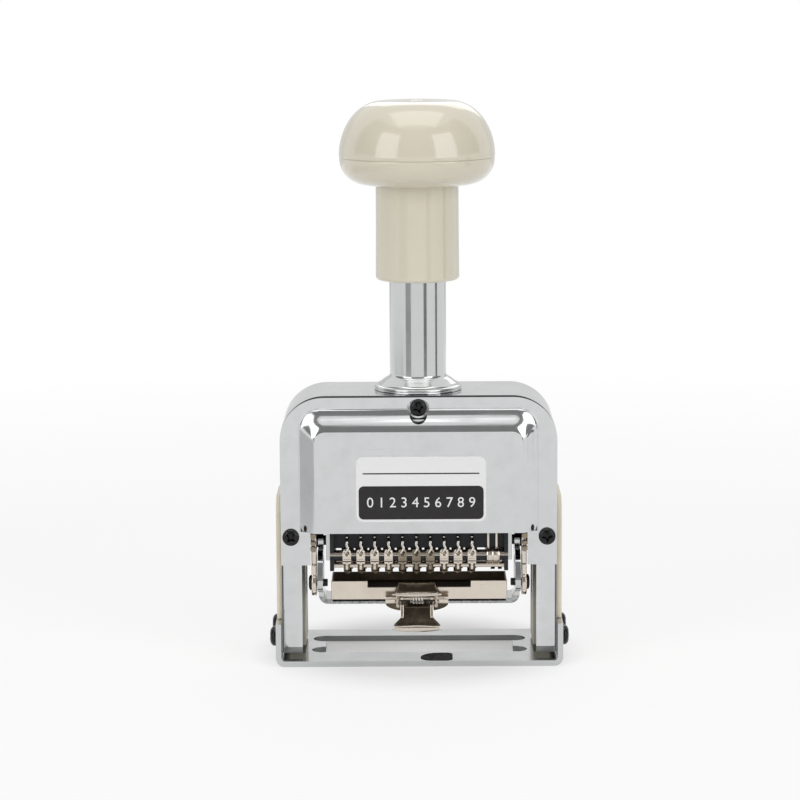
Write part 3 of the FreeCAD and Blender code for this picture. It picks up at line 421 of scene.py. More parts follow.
# %% Helpers for node groups
def group(name, inputs, outputs):
    """A shader node group with its named sockets."""
    made = bpy.data.node_groups.new(name, "ShaderNodeTree")
    for label, value in inputs:
        socket = made.interface.new_socket(name=label, in_out="INPUT", socket_type="NodeSocketFloat")
        socket.default_value = value
    for label in outputs:
        made.interface.new_socket(name=label, in_out="OUTPUT", socket_type="NodeSocketFloat")
    return made, made.nodes.new("NodeGroupInput"), made.nodes.new("NodeGroupOutput")


def spread_node(made, low, high):
    """A node that stretches a value from low..high to 0..1."""
    return shader_node(made, "MapRange", From_Min=low, From_Max=high)


def on_object(made, given, *textures):
    """Lay textures on Object coordinates, each with the input that gives its scale."""
    place = shader_node(made, "TexCoord").outputs["Object"]
    for texture, scale in textures:
        wire_up(made, (place, texture.inputs["Vector"]),
                (given.outputs[scale], texture.inputs["Scale"]))


def rough_between(made, given, result, value, low, high):
    """Stretch a value from low..high to the roughness between the group's two inputs."""
    spread = spread_node(made, low, high)
    wire_up(made, (value, spread.inputs["Value"]),
            (given.outputs["Rough Low"], spread.inputs["To Min"]),
            (given.outputs["Rough High"], spread.inputs["To Max"]),
            (spread.outputs["Result"], result.inputs["Roughness"]))


def masked(made, result, value, amount):
    """Give a mask times its amount."""
    product = shader_node(made, "Math", "MULTIPLY")
    wire_up(made, (value, product.inputs[0]), (amount, product.inputs[1]),
            (product.outputs[0], result.inputs["Mask"]))


# %% Plating
def plating_group():
    """Haze, faint waves and pits in plated metal: a roughness and a height."""
    made, given, result = group("Plating unevenness",
                                [("Haze Scale", 90.0), ("Rough Low", 0.1), ("Rough High", 0.2),
                                 ("Wave Scale", 40.0), ("Pit Scale", 1400.0), ("Pit Amount", 0.3)],
                                ["Roughness", "Height"])
    haze, wave = shader_node(made, "TexNoise", Detail=6.0), shader_node(made, "TexNoise", Detail=1.0)
    pits = shader_node(made, "TexVoronoi")
    pit_edge = spread_node(made, 0.0, 0.12)
    scaled, total = shader_node(made, "Math", "MULTIPLY"), shader_node(made, "Math", "ADD")
    on_object(made, given, (haze, "Haze Scale"), (wave, "Wave Scale"), (pits, "Pit Scale"))
    rough_between(made, given, result, haze.outputs["Fac"], 0.35, 0.65)
    wire_up(made, (pits.outputs["Distance"], pit_edge.inputs["Value"]),
            (pit_edge.outputs["Result"], scaled.inputs[0]),
            (given.outputs["Pit Amount"], scaled.inputs[1]),
            (scaled.outputs[0], total.inputs[0]), (wave.outputs["Fac"], total.inputs[1]),
            (total.outputs[0], result.inputs["Height"]))
    return made


# %% Scratches
def scratch_group():
    """Hair-fine scratches in two directions: a mask from 0 to 1."""
    made, given, result = group("Fine scratches", [("Density", 0.5)], ["Mask"])
    place = shader_node(made, "TexCoord")
    both = shader_node(made, "Math", "MAXIMUM")
    for number, (turn, stretch) in enumerate(((0.5, (60, 60, 2600)), (-0.8, (2200, 60, 50)))):
        along = shader_node(made, "Mapping", Rotation=(turn, 0.4 * turn, turn), Scale=stretch)
        streak = shader_node(made, "TexNoise", Scale=1.0, Detail=2.0)
        edge = spread_node(made, 0.68, 0.78)
        wire_up(made, (place.outputs["Object"], along.inputs["Vector"]),
                (along.outputs["Vector"], streak.inputs["Vector"]),
                (streak.outputs["Fac"], edge.inputs["Value"]),
                (edge.outputs["Result"], both.inputs[number]))
    masked(made, result, both.outputs[0], given.outputs["Density"])
    return made


# %% Moulded skin, and dust
def skin_group():
    """The fine skin of moulded plastic or felt: a height and a roughness."""
    made, given, result = group("Moulded skin",
                                [("Grain Scale", 2500.0), ("Cloud Scale", 60.0),
                                 ("Rough Low", 0.2), ("Rough High", 0.3)],
                                ["Roughness", "Height"])
    grain, cloud = shader_node(made, "TexNoise"), shader_node(made, "TexNoise")
    on_object(made, given, (grain, "Grain Scale"), (cloud, "Cloud Scale"))
    rough_between(made, given, result, cloud.outputs["Fac"], 0.3, 0.7)
    wire_up(made, (grain.outputs["Fac"], result.inputs["Height"]))
    return made


def dust_group():
    """Where a thin film of dust and handling lies: a mask from 0 to 1."""
    made, given, result = group("Handling film", [("Scale", 140.0), ("Amount", 0.2)], ["Mask"])
    cloud = shader_node(made, "TexNoise", Detail=8.0)
    edge = spread_node(made, 0.45, 0.75)
    on_object(made, given, (cloud, "Scale"))
    wire_up(made, (cloud.outputs["Fac"], edge.inputs["Value"]))
    masked(made, result, edge.outputs["Result"], given.outputs["Amount"])
    return made


plating = plating_group()
scratches = scratch_group()
skin = skin_group()
film = dust_group()
print("groups", [item.name for item in bpy.data.node_groups])

# %% [markdown]
# ## Finishes
# Chrome plate, nickel plate, black oxide, cream plastic, felt and printed paint. A metal's colour
# is what it gives back, so chrome is a light neutral grey and nickel a little warmer.


# %% One material
def placed_group(tree, effect, **values):
    """An effect group in a material, with its own values."""
    made = tree.nodes.new("ShaderNodeGroup")
    made.node_tree = effect
    return with_values(made, **values)


def finish(name, colour, worn, effect, rough, metallic=0.0, bump=0.1, bump_far=0.02 * MM,
           film_amount=0.15, scratch_amount=0.0, film_scale=140.0, **more):
    """One material: a principled shader fed by an effect group and a film of handling."""
    material = bpy.data.materials.new(name)
    material.use_nodes = True
    tree = material.node_tree
    shader = with_values(tree.nodes["Principled BSDF"], Metallic=metallic)
    surface = placed_group(tree, effect, Rough_Low=rough[0], Rough_High=rough[1])
    for label, value in more.items():
        holder = surface if label.replace("_", " ") in surface.inputs else shader
        with_values(holder, **{label: value})
    handled = placed_group(tree, film, Amount=film_amount, Scale=film_scale)
    blend = tree.nodes.new("ShaderNodeMix")
    blend.data_type = "RGBA"
    with_values(blend, A=(*colour, 1), B=(*worn, 1))
    relief = shader_node(tree, "Bump", Strength=bump, Distance=bump_far)
    mask = handled.outputs["Mask"]
    if scratch_amount:
        scratched = placed_group(tree, scratches, Density=scratch_amount)
        larger = shader_node(tree, "Math", "MAXIMUM")
        wire_up(tree, (mask, larger.inputs[0]), (scratched.outputs["Mask"], larger.inputs[1]))
        mask = larger.outputs[0]
    wire_up(tree, (mask, blend.inputs["Factor"]),
            (blend.outputs["Result"], shader.inputs["Base Color"]),
            (surface.outputs["Roughness"], shader.inputs["Roughness"]),
            (surface.outputs["Height"], relief.inputs["Height"]),
            (relief.outputs["Normal"], shader.inputs["Normal"]))
    return material


# %% Plated and oxidised metals
chrome_sheet = finish("chrome_sheet", (0.635, 0.643, 0.65), (0.55, 0.552, 0.548), plating,
                      (0.10, 0.17), Wave_Scale=45.0, metallic=1.0, bump=0.35, film_amount=0.45,
                      scratch_amount=0.75, film_scale=220.0)
chrome_bright = finish("chrome_bright", (0.58, 0.59, 0.592), (0.46, 0.465, 0.46), plating,
                       (0.09, 0.17), Wave_Scale=70.0, Pit_Amount=0.5, metallic=1.0, bump=0.3,
                       scratch_amount=0.3)
# A near-black chrome, painted as the shadow in the seam between the case and the covers.
chrome_painted_seam_shadow = finish("painted_seam_shadow_chrome", (0.10, 0.105, 0.105), (0.22, 0.22, 0.22), plating, (0.25, 0.4),
                    metallic=1.0, bump=0.4)
# A darker chrome, painted as shade in the base's window and at the feet of the legs.
chrome_painted_shade = finish("chrome_painted_shade", (0.24, 0.245, 0.243), (0.34, 0.345, 0.34), plating, (0.25, 0.4),
                     metallic=1.0, bump=0.4)
nickel = finish("nickel_plate", (0.70, 0.63, 0.55), (0.54, 0.465, 0.385), plating, (0.16, 0.28),
                Haze_Scale=300.0, metallic=1.0, bump=0.3, film_amount=0.4, scratch_amount=0.3)
# A dark brown nickel that is a painted dark reflection, with a film of handling and scratches on it.
nickel_painted_dark_reflection = finish("nickel_painted_reflection", (0.085, 0.068, 0.048), (0.22, 0.18, 0.13), plating, (0.16, 0.32),
                     Haze_Scale=500.0, metallic=1.0, bump=0.4, film_amount=0.6, scratch_amount=0.5)
knurled = finish("chrome_knurled", (0.42, 0.43, 0.43), (0.12, 0.12, 0.12), plating, (0.2, 0.4),
                 Pit_Scale=2600.0, Pit_Amount=3.0, metallic=1.0, bump=1.0, bump_far=0.2 * MM,
                 film_amount=0.9, film_scale=1500.0)
nickel_dark = finish("nickel_shadowed", (0.30, 0.25, 0.19), (0.12, 0.10, 0.075), plating,
                     (0.18, 0.36), Haze_Scale=500.0, metallic=1.0, bump=0.4, film_amount=0.6)
nickel_inked = finish("nickel_inked", (0.115, 0.082, 0.050), (0.19, 0.14, 0.095), plating, (0.3, 0.5),
                      Haze_Scale=300.0, metallic=0.3, bump=0.5, film_amount=0.7, film_scale=400.0)
type_metal = finish("type_metal", (0.30, 0.25, 0.17), (0.10, 0.08, 0.06), plating, (0.25, 0.42),
                    Haze_Scale=600.0, metallic=1.0, bump=0.4, film_amount=0.7, film_scale=500.0)
# Black oxide for the screws, also used as painted shade in the cover's notch.
black_oxide_and_painted_shade = finish("black_oxide_and_painted_shade", (0.005, 0.005, 0.0055), (0.02, 0.02, 0.02), plating, (0.16, 0.28),
                     metallic=0.0, bump=0.3, film_amount=0.25, Specular_IOR_Level=0.32)
black_sheet = finish("black_sheet", (0.016, 0.017, 0.020), (0.06, 0.06, 0.06), plating, (0.40, 0.55),
                     metallic=0.0, bump=0.3, scratch_amount=0.12, Specular_IOR_Level=0.3)

# %% Black matte, plastic, print and felt, and two wires
black_matte = finish("black_matte", (0.010, 0.009, 0.009), (0.16, 0.15, 0.15), skin, (0.5, 0.7),
                      Grain_Scale=1500.0, bump=0.5, bump_far=0.06 * MM, film_amount=0.35,
                      film_scale=1400.0, Specular_IOR_Level=0.03)
cream_gloss = finish("cream_gloss", (0.675, 0.630, 0.505), (0.645, 0.60, 0.48), skin, (0.10, 0.16),
                     Cloud_Scale=40.0, bump=0.03, film_amount=0.2, scratch_amount=0.10,
                     Coat_Weight=0.6, Coat_Roughness=0.04)
cream_panel = finish("cream_panel", (0.72, 0.655, 0.52), (0.63, 0.57, 0.44), skin, (0.32, 0.45),
                     bump=0.2, film_amount=0.3)
# A darker cream, painted as the shade on the guide inserts inside the legs, with a film of handling.
cream_painted_shade = finish("cream_painted_shade", (0.42, 0.405, 0.33), (0.30, 0.285, 0.23), skin, (0.35, 0.5),
                    bump=0.2, film_amount=0.5)
label_white = finish("label_white", (0.80, 0.80, 0.80), (0.75, 0.75, 0.75), skin, (0.28, 0.36),
                     bump=0.04, film_amount=0.2)
label_dark = finish("label_charcoal", (0.022, 0.020, 0.021), (0.035, 0.033, 0.034), skin,
                    (0.28, 0.36), bump=0.06, Specular_IOR_Level=0.25, film_amount=0.4,
                    film_scale=700.0)
felt_ink = finish("felt_ink", (0.028, 0.018, 0.010), (0.050, 0.034, 0.020), skin, (0.75, 0.95),
                  Grain_Scale=1800.0, bump=0.8, bump_far=0.15 * MM, film_amount=0.5,
                  Specular_IOR_Level=0.1)
spring_wire = finish("spring_wire", (0.64, 0.61, 0.56), (0.46, 0.43, 0.38), plating, (0.14, 0.24),
                     metallic=1.0, bump=0.1)
steel_rod = finish("steel_rod", (0.48, 0.47, 0.45), (0.38, 0.36, 0.34), plating, (0.18, 0.3),
                   metallic=1.0, bump=0.2)
print("materials", len(bpy.data.materials))

# %% [markdown]
# ## Bent and moulded pieces
# A bent or moulded part never has a razor edge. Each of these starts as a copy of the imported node,
# whose loose triangles are merged and dissolved into real faces. A bevel then rounds every edge by
# a width that suits the piece, and weighted normals keep the flat faces flat in reflections.


# %% Round the edges of copies of the nodes
def softened(node, width, material):
    """A copy of a CAD node with rounded edges, which stands for the node."""
    piece = copy_of(frame["nodes"][node], node + "_finished")
    for key in list(piece.keys()):
        del piece[key]
    piece.parent = None
    piece.hide_render = False
    piece.hide_viewport = False
    only(piece)
    if piece.data.has_custom_normals:
        bpy.ops.mesh.customdata_custom_splitnormals_clear()
    edit_all(lambda: bpy.ops.mesh.remove_doubles(threshold=2e-6),
             lambda: bpy.ops.mesh.dissolve_limited(angle_limit=math.radians(0.6)))
    round_edges(piece, width, segments=3)
    return fit(piece, BODY_OF[node], material, [node])


rounded = [
    ("base_plate", 0.25, chrome_bright), ("case_shell", 0.14, chrome_sheet),
    ("leg_left", 0.35, chrome_sheet), ("leg_right", 0.35, chrome_sheet),
    # The guide inserts get the darker cream as painted shade.
    ("guide_insert_left", 0.3, cream_painted_shade), ("guide_insert_right", 0.3, cream_painted_shade),
    ("side_panel_left", 0.45, cream_panel), ("side_panel_right", 0.45, cream_panel),
    ("yoke", 0.3, chrome_bright), ("carriage_plate_left", 0.15, black_sheet),
    ("carriage_plate_right", 0.15, black_sheet), ("spring_plate", 0.1, black_sheet),
    ("pad_bracket", 0.3, chrome_bright), ("pad_tray", 0.15, nickel),
    ("pad_hanger_left", 0.3, nickel), ("pad_hanger_right", 0.3, nickel),
    ("feed_lever", 0.15, nickel_dark),
    ("repeat_spool", 0.2, nickel), ("pawl_rod", 0.1, nickel),
]
finished = {node: softened(node, width, material) for node, width, material in rounded}
print("softened", len(finished))


# %% Second finishes on parts of a piece
def second_finish(piece, material, test):
    """Paint only those faces whose centre, normal and area pass a test."""
    piece.data.materials.append(material)
    index = len(piece.data.materials) - 1
    count = 0
    for face in piece.data.polygons:
        if test(face.center / MM, face.normal, face.area / MM / MM):
            face.material_index = index
            count += 1
    return count


# Painted shadow: the case's front and back edge strips above the covers are made near-black, as the
# dark line in the seam.
print("painted seam shadow", second_finish(finished["case_shell"], chrome_painted_seam_shadow,
                                 lambda c, n, a: abs(n.y) > 0.7 and abs(c.y) > 12.8 and c.z > 40))
print("inked", second_finish(finished["pad_tray"], nickel_inked,
                             lambda c, n, a: abs(c.x) < 24.3 and abs(c.y) < 6.0 and c.z > 16.5))

# Painted shade: the upright walls of the window in the base get the darker chrome.
print("window walls", second_finish(finished["base_plate"], chrome_painted_shade,
                                    lambda c, n, a: abs(n.z) < 0.3 and abs(c.x) < 32
                                    and abs(c.y) < 12 and c.z < 1.5))
# Painted shade: each leg below this height, in mm, gets the darker chrome.
LEG_SHADE_TOP = 4.3
for leg in ("leg_left", "leg_right"):
    only(finished[leg])
    edit_all(lambda: bpy.ops.mesh.bisect(plane_co=(0, 0, LEG_SHADE_TOP * MM), plane_no=(0, 0, 1)))
    print(leg, second_finish(finished[leg], chrome_painted_shade, lambda c, n, a: c.z < LEG_SHADE_TOP))
print("bar", second_finish(finished["pad_bracket"], knurled,
                           lambda c, n, a: n.y < -0.7 and c.z < 16.3 and abs(c.x) < 24))
print("rod's shaded side", second_finish(finished["pawl_rod"], black_sheet,
                                         lambda c, n, a: n.z < 0.1 and c.z > 28.3))

# %% Finish the plain rods in place
for node, material in (("wheel_axle", steel_rod), ("tie_rod", nickel), ("plunger_rod", steel_rod)):
    paint(frame["nodes"][node], material)

# %% [markdown]
# ## Knob, sleeve and barrel
# These are turned or moulded round. One half of the section is drawn as a chain of points by
# extruding a single point, and the chain is then spun about the plunger's axis.


# %% Spin a section about the plunger
def turned(name, section, steps=160):
    """A round piece: its half section, as (radius, height) in mm, spun about Z."""
    first = Vector((section[0][0], 0, section[0][1])) * MM
    bpy.ops.mesh.primitive_plane_add(size=MM, location=first)
    piece = added(name)
    bpy.ops.object.mode_set(mode="EDIT")
    bpy.ops.mesh.select_all(action="SELECT")
    bpy.ops.mesh.merge(type="CENTER")
    for (r0, z0), (r1, z1) in zip(section, section[1:]):
        step = Vector((r1 - r0, 0, z1 - z0)) * MM
        bpy.ops.mesh.extrude_region_move(TRANSFORM_OT_translate={"value": step})
    bpy.ops.mesh.select_all(action="SELECT")
    bpy.ops.mesh.spin(steps=steps, angle=2 * math.pi, center=(0, 0, 0), axis=(0, 0, 1))
    bpy.ops.object.mode_set(mode="OBJECT")
    clean(settle(piece))
    smooth(40)
    return piece


def ellipse(centre, across, tall, start, stop, count):
    """Points of an elliptical arc in a section, from start to stop degrees."""
    points = []
    for step in range(count + 1):
        angle = math.radians(start + (stop - start) * step / count)
        points.append((centre[0] + across * math.cos(angle), centre[1] + tall * math.sin(angle)))
    return points


# %% Knob cap, knob base and sleeve
KNOB_RADIUS = 21.6
KNOB_SEAM = 139.6
KNOB_TOP = 155.0
KNOB_LOW = 132.1
HOLLOW_TOP = 150.0
CROWN = 9.5
FOOT = 14.0
HOLLOW = 8.2
SEAM_STEP = 0.16

cap_section = [(0.0, HOLLOW_TOP), (HOLLOW, HOLLOW_TOP), (HOLLOW, KNOB_SEAM),
               (KNOB_RADIUS - 0.5, KNOB_SEAM)]
cap_section += ellipse((KNOB_RADIUS - 0.3, KNOB_SEAM + 0.25), 0.2, 0.25, -90, 0, 4)
cap_section += ellipse((CROWN, KNOB_SEAM + 0.3), KNOB_RADIUS - CROWN - 0.05,
                       KNOB_TOP - KNOB_SEAM - 0.3, 2, 90, 44)
cap_section += [(5.0, KNOB_TOP), (1.7, KNOB_TOP), (1.35, KNOB_TOP - 0.08),
                (1.1, KNOB_TOP - 0.35), (0.6, KNOB_TOP - 0.4), (0.0, KNOB_TOP - 0.4)]
fit(turned("knob_cap_finished", cap_section), "carriage", cream_gloss,
    ["knob_cap"])

base_section = [(HOLLOW, KNOB_SEAM), (KNOB_RADIUS - 0.5, KNOB_SEAM)]
base_section += ellipse((KNOB_RADIUS - 0.25 - SEAM_STEP, KNOB_SEAM - 0.25), 0.25, 0.25, 90, 0, 4)
base_section += ellipse((FOOT, KNOB_SEAM - 0.3), KNOB_RADIUS - FOOT - SEAM_STEP,
                        KNOB_SEAM - 0.3 - KNOB_LOW, -2, -88, 28)
base_section += [(12.6, KNOB_LOW), (HOLLOW, KNOB_LOW), (HOLLOW, KNOB_SEAM)]
fit(turned("knob_base_finished", base_section), "carriage", cream_gloss,
    ["knob_base"])

SLEEVE = 11.6
SLEEVE_LOW = 105.7
sleeve_section = [(HOLLOW, KNOB_LOW - 0.02), (SLEEVE - 0.15, KNOB_LOW - 0.02),
                  (SLEEVE - 0.12, 120.0), (SLEEVE, SLEEVE_LOW + 1.1)]
sleeve_section += ellipse((SLEEVE - 0.9, SLEEVE_LOW + 0.9), 0.9, 0.9, 0, -90, 8)
sleeve_section += [(9.3, SLEEVE_LOW), (8.6, SLEEVE_LOW + 0.3), (HOLLOW, SLEEVE_LOW + 0.9),
                   (HOLLOW, KNOB_LOW - 0.02)]
fit(turned("knob_sleeve_finished", sleeve_section), "carriage", cream_gloss,
    ["knob_sleeve"])

# %% Barrel with its flared foot
BARREL = 7.85
BARREL_BORE = 6.3
BARREL_TOP = 125.0
barrel_section = [(BARREL_BORE, BARREL_TOP - 0.3), (BARREL_BORE + 0.3, BARREL_TOP),
                  (BARREL - 0.45, BARREL_TOP), (BARREL, BARREL_TOP - 0.5), (BARREL, 84.0),
                  (BARREL, 79.6)]
barrel_section += ellipse((BARREL + 1.0, 79.4), 1.0, 1.0, 184, 240, 5)
barrel_section += [(9.4, 77.95), (10.6, 77.0), (11.1, 76.75), (11.25, 76.45), (11.45, 76.4)]
barrel_section += ellipse((11.7, 75.9), 0.5, 0.45, 90, -20, 6)
barrel_section += [(12.05, 75.55), (12.2, 75.4), (12.15, 75.1), (11.95, 75.02), (BARREL, 75.02),
                   (BARREL, 71.0), (2.55, 71.0), (2.55, 78.0), (BARREL_BORE, 78.0),
                   (BARREL_BORE, BARREL_TOP - 0.3)]
fit(turned("barrel_finished", barrel_section), "frame", chrome_bright, ["barrel"])
print("round pieces made")

# %% [markdown]
# ## Pressed covers
# The covers are pressed from one sheet: a flat rim, S-shaped slopes and a raised panel that is open
# at the bottom. The sheet is a plane with its upper corners beveled, then inset again and again,
# each time a little further out, which draws the S. The flat rim is the first ring of that inset. A
# solidify modifier gives the sheet its thickness, and small cutters make the notches.

# %% Draw the sheet
COVER_FACE = -14.0
COVER_HALF = 38.2
COVER_TOP = 74.6
COVER_LOW = 27.7
COVER_ROUND = 12.1
BAND_INNER = 30.0
PANEL_HALF = 33.0
PANEL_TOP = 71.6
PANEL_LOW = 37.3
PANEL_ROUND = 5.6
RISE = 3.5
SLOPE_SIDE = 4.7
SLOPE_TOP = 6.3
SHEET_THICK = 1.0
BELOW = 18.0
PRESS = ((0.012, 0.040), (0.065, 0.048), (0.085, 0.085), (0.16, 0.15), (0.29, 0.27), (0.43, 0.45),
         (0.57, 0.64), (0.71, 0.81), (0.83, 0.92), (0.92, 0.98), (1.0, 1.0))


def upright_panel(name, half, low, high, radius, face):
    """A flat panel that looks to the front, its two upper corners rounded."""
    bpy.ops.mesh.primitive_plane_add(size=1.0, location=(0, face * MM, (low + high) / 2 * MM),
                                     rotation=(math.pi / 2, 0, 0))
    panel = added(name)
    panel.scale = (2 * half * MM, (high - low) * MM, 1)
    settle(panel)
    pick(panel, "points", lambda point: point.co.z / MM > high - 0.01)
    bpy.ops.mesh.bevel(offset=radius * MM, segments=14, affect="VERTICES")
    done()
    return panel


def panel_foot(point):
    """The place on the raised panel's foot that belongs to a point on the rim, in mm."""
    side = 1 if point.x > 0 else -1
    if point.z < COVER_TOP - COVER_ROUND - 1.0:
        return Vector((side * PANEL_HALF, point.y, BELOW + 2))
    turn = math.atan2(point.z - (COVER_TOP - COVER_ROUND), abs(point.x) - (COVER_HALF - COVER_ROUND))
    turn = min(max(turn, 0.0), math.pi / 2)
    return Vector((side * (PANEL_HALF - PANEL_ROUND + PANEL_ROUND * math.cos(turn)), point.y,
                   PANEL_TOP - PANEL_ROUND + PANEL_ROUND * math.sin(turn)))


cover = upright_panel("front_cover_finished", COVER_HALF, BELOW, COVER_TOP, COVER_ROUND, COVER_FACE)
pick(cover, "faces", lambda face: True)
bpy.ops.mesh.inset(thickness=1.0 * MM, depth=0)
bpy.ops.object.mode_set(mode="OBJECT")
for point in cover.data.vertices:
    if point.select:
        point.co = panel_foot(point.co / MM) * MM
bpy.ops.object.mode_set(mode="EDIT")
half, top, before_across, before_up = PANEL_HALF, PANEL_TOP, 0.0, 0.0
for across, up in PRESS:
    side = SLOPE_SIDE * (across - before_across)
    drop = SLOPE_TOP * (across - before_across)
    out = RISE * (up - before_up)
    bpy.ops.mesh.inset(thickness=side / 2 * MM, depth=out * MM)
    wide = (half - side) / (half - side / 2)
    tall = (top - drop - PANEL_LOW) / (top - side / 2 - PANEL_LOW)
    bpy.ops.transform.resize(value=(wide, 1, tall),
                             center_override=(0, COVER_FACE * MM, PANEL_LOW * MM))
    half, top, before_across, before_up = half - side, top - drop, across, up
done()
print("cover faces", len(cover.data.polygons), "face half", round(half, 2), "top", round(top, 2))


# %% Trim it, fill the rim's lower ends and give it thickness
def bisect(piece, point, normal, clear_inner=False):
    """Cut a mesh with a plane, and clear what lies behind it if asked."""
    only(piece)
    edit_all(lambda: bpy.ops.mesh.bisect(plane_co=Vector(point) * MM, plane_no=normal,
                                         clear_inner=clear_inner))


bisect(cover, (0, 0, COVER_LOW), (0, 0, 1), clear_inner=True)
bisect(cover, (0, 0, PANEL_LOW), (0, 0, 1))
pick(cover, "faces", lambda face: face.center.z / MM < PANEL_LOW
     and abs(face.center.x / MM) < PANEL_HALF - 0.001)
bpy.ops.mesh.delete(type="FACE")
done()
for side in (-1, 1):
    pick(cover, "edges", lambda edge: all(abs(p.x - side * PANEL_HALF) < 0.01
                                          and p.z < PANEL_LOW + 0.01 for p in ends(cover, edge)))
    bpy.ops.mesh.extrude_edges_move(
        TRANSFORM_OT_translate={"value": (side * (BAND_INNER - PANEL_HALF) * MM, 0, 0)})
    done()
clean(cover)
if sum(face.normal.y * face.area for face in cover.data.polygons) > 0:
    edit_all(bpy.ops.mesh.flip_normals)
modify(cover, "SOLIDIFY", thickness=SHEET_THICK * MM, offset=-1.0, use_even_offset=True)


# %% Cut the screw's notch and round the edges
def cut_away(piece, cutters):
    """Take cutters away from a piece, and remove them."""
    for cutter in cutters:
        modify(piece, "BOOLEAN", operation="DIFFERENCE", object=cutter, solver="EXACT")
        bpy.data.objects.remove(cutter)


def drill(radius, near, far, x, z, vertices=40):
    """A cylinder along Y between two levels, in mm."""
    bpy.ops.mesh.primitive_cylinder_add(
        vertices=vertices, radius=radius * MM, depth=(far - near) * MM,
        location=(x * MM, (near + far) / 2 * MM, z * MM), rotation=(math.pi / 2, 0, 0))
    return settle(added("drill"))


SCREW_HIGH = 71.8
SCREW_SIDE = 35.4
SCREW_LOW = 35.7
cut_away(cover, [drill(3.0, -20, COVER_FACE, 0, SCREW_HIGH), drill(2.4, -20, -14.6, 0, 69.9)])
seat = drill(3.3, COVER_FACE, COVER_FACE + SHEET_THICK - 0.05, 0, SCREW_HIGH - 0.9)
cover = joined("front_cover_finished", [cover, seat])
round_edges(cover, 0.16, corner=50, sharpest=30)
paint(cover, chrome_sheet)
# Painted shade: the walls of the notch under the top screw get the screws' black.
print("notch", second_finish(cover, black_oxide_and_painted_shade, lambda c, n, a: abs(c.x) < 3.2 and 67.2 < c.z < 71.5
                             and c.y < -14.05 and a < 4.0 and math.hypot(c.x, c.z - 70.2) < 3.3))

# %% Turn a copy round for the rear
rear = copy_of(cover, "rear_cover_finished", Matrix.Rotation(math.pi, 4, "Z"))
fit(cover, "frame", None, ["front_cover"])
fit(rear, "frame", None, ["rear_cover"])
print("cover triangles", triangles(cover))

# %% Dark eyes at the panel's lower corners
EYE_PLACE = (31.3, 15.1, 38.35)
EYE_HALF = (0.85, 0.22, 1.1)
EYE_SLANT = 45
eyes = []
for face_side in (-1, 1):
    for side in (-1, 1):
        bpy.ops.mesh.primitive_uv_sphere_add(segments=24, ring_count=12, radius=MM)
        eye = settle(added("eye"))
        out, deep, high = EYE_PLACE
        slant = Matrix.Rotation(math.radians(-EYE_SLANT * side * face_side), 4, "Z")
        eye.data.transform(moved(side * out, face_side * deep, high) @ slant
                           @ Matrix.Diagonal((*EYE_HALF, 1)))
        bpy.ops.object.shade_smooth()
        eyes.append(eye)
fit(joined("cover_eyes", eyes), "frame", black_oxide_and_painted_shade)
print("eyes", len(eyes))


# %% [markdown]
# ## Label
# A thin painted plate stands on the raised panel: light above, charcoal below. It carries nothing
# but a plain row of figures, as a ruler or a dial would.

# %% Plate, charcoal band and figures
LABEL_MID = 0.65
LABEL_FACE = -17.5
LABEL_HALF, LABEL_LOW, LABEL_HIGH = 17.85, 40.6, 58.8
DARK_HALF, DARK_LOW, DARK_HIGH = 17.15, 41.3, 50.6
FIGURE_SIZE, FIGURE_MID = 4.0, 45.9
LINE_HALF, LINE_LOW, LINE_HIGH = 16.0, 53.9, 54.25


def flat_plate(name, half, low, high, near, far, radius, middle=0.0):
    """A thin upright plate with four rounded corners, from near to far in Y."""
    bpy.ops.mesh.primitive_cube_add(
        size=1.0, location=(middle * MM, (near + far) / 2 * MM, (low + high) / 2 * MM))
    piece = added(name)
    piece.scale = (2 * half * MM, abs(far - near) * MM, (high - low) * MM)
    settle(piece)
    round_along(piece, 1, radius)
    return piece


plate = flat_plate("label_plate_finished", LABEL_HALF, LABEL_LOW, LABEL_HIGH, LABEL_FACE - 0.22,
                   LABEL_FACE, 2.0, LABEL_MID)
round_edges(plate, 0.07)
fit(plate, "frame", label_white, ["label_plate"])
band = flat_plate("label_band", DARK_HALF, DARK_LOW, DARK_HIGH, LABEL_FACE - 0.26, LABEL_FACE - 0.1,
                  1.4, LABEL_MID)
round_edges(band, 0.02)
fit(band, "frame", label_dark)


def figures(name, text, size, x, z, near, deep, mirror=False):
    """Plain figures that face the front, as a mesh."""
    bpy.ops.object.text_add(location=(0, 0, 0))
    words = added(name)
    words.data.body = text
    words.data.size = size * MM
    words.data.extrude = deep / 2 * MM
    words.data.align_x = "CENTER"
    words.data.align_y = "CENTER"
    words.data.resolution_u = 3
    bpy.ops.object.convert(target="MESH")
    words = added(name)
    flip = Matrix.Diagonal((-1 if mirror else 1, 1, 1, 1))
    words.data.transform(moved(x, near + deep / 2, z)
                         @ Matrix.Rotation(math.pi / 2, 4, "X") @ flip)
    return clean(settle(words), 1e-7)


row = figures("label_figures", "0 1 2 3 4 5 6 7 8 9", FIGURE_SIZE, LABEL_MID, FIGURE_MID,
              LABEL_FACE - 0.29, 0.12)
fit(row, "frame", label_white)
line = flat_plate("label_line", LINE_HALF, LINE_LOW, LINE_HIGH, LABEL_FACE - 0.25, LABEL_FACE - 0.1,
                  0.1, LABEL_MID)
fit(line, "frame", label_dark)
print("label", 2 * LABEL_HALF, "by", round(LABEL_HIGH - LABEL_LOW, 1), "mm")

# %% [markdown]
# ## Screws
# The machine is held by black pan-head screws with a cross recess. One head is modelled at the
# origin: a low cylinder whose rim is beveled, with a cross cut into it. It is then copied to every
# place.


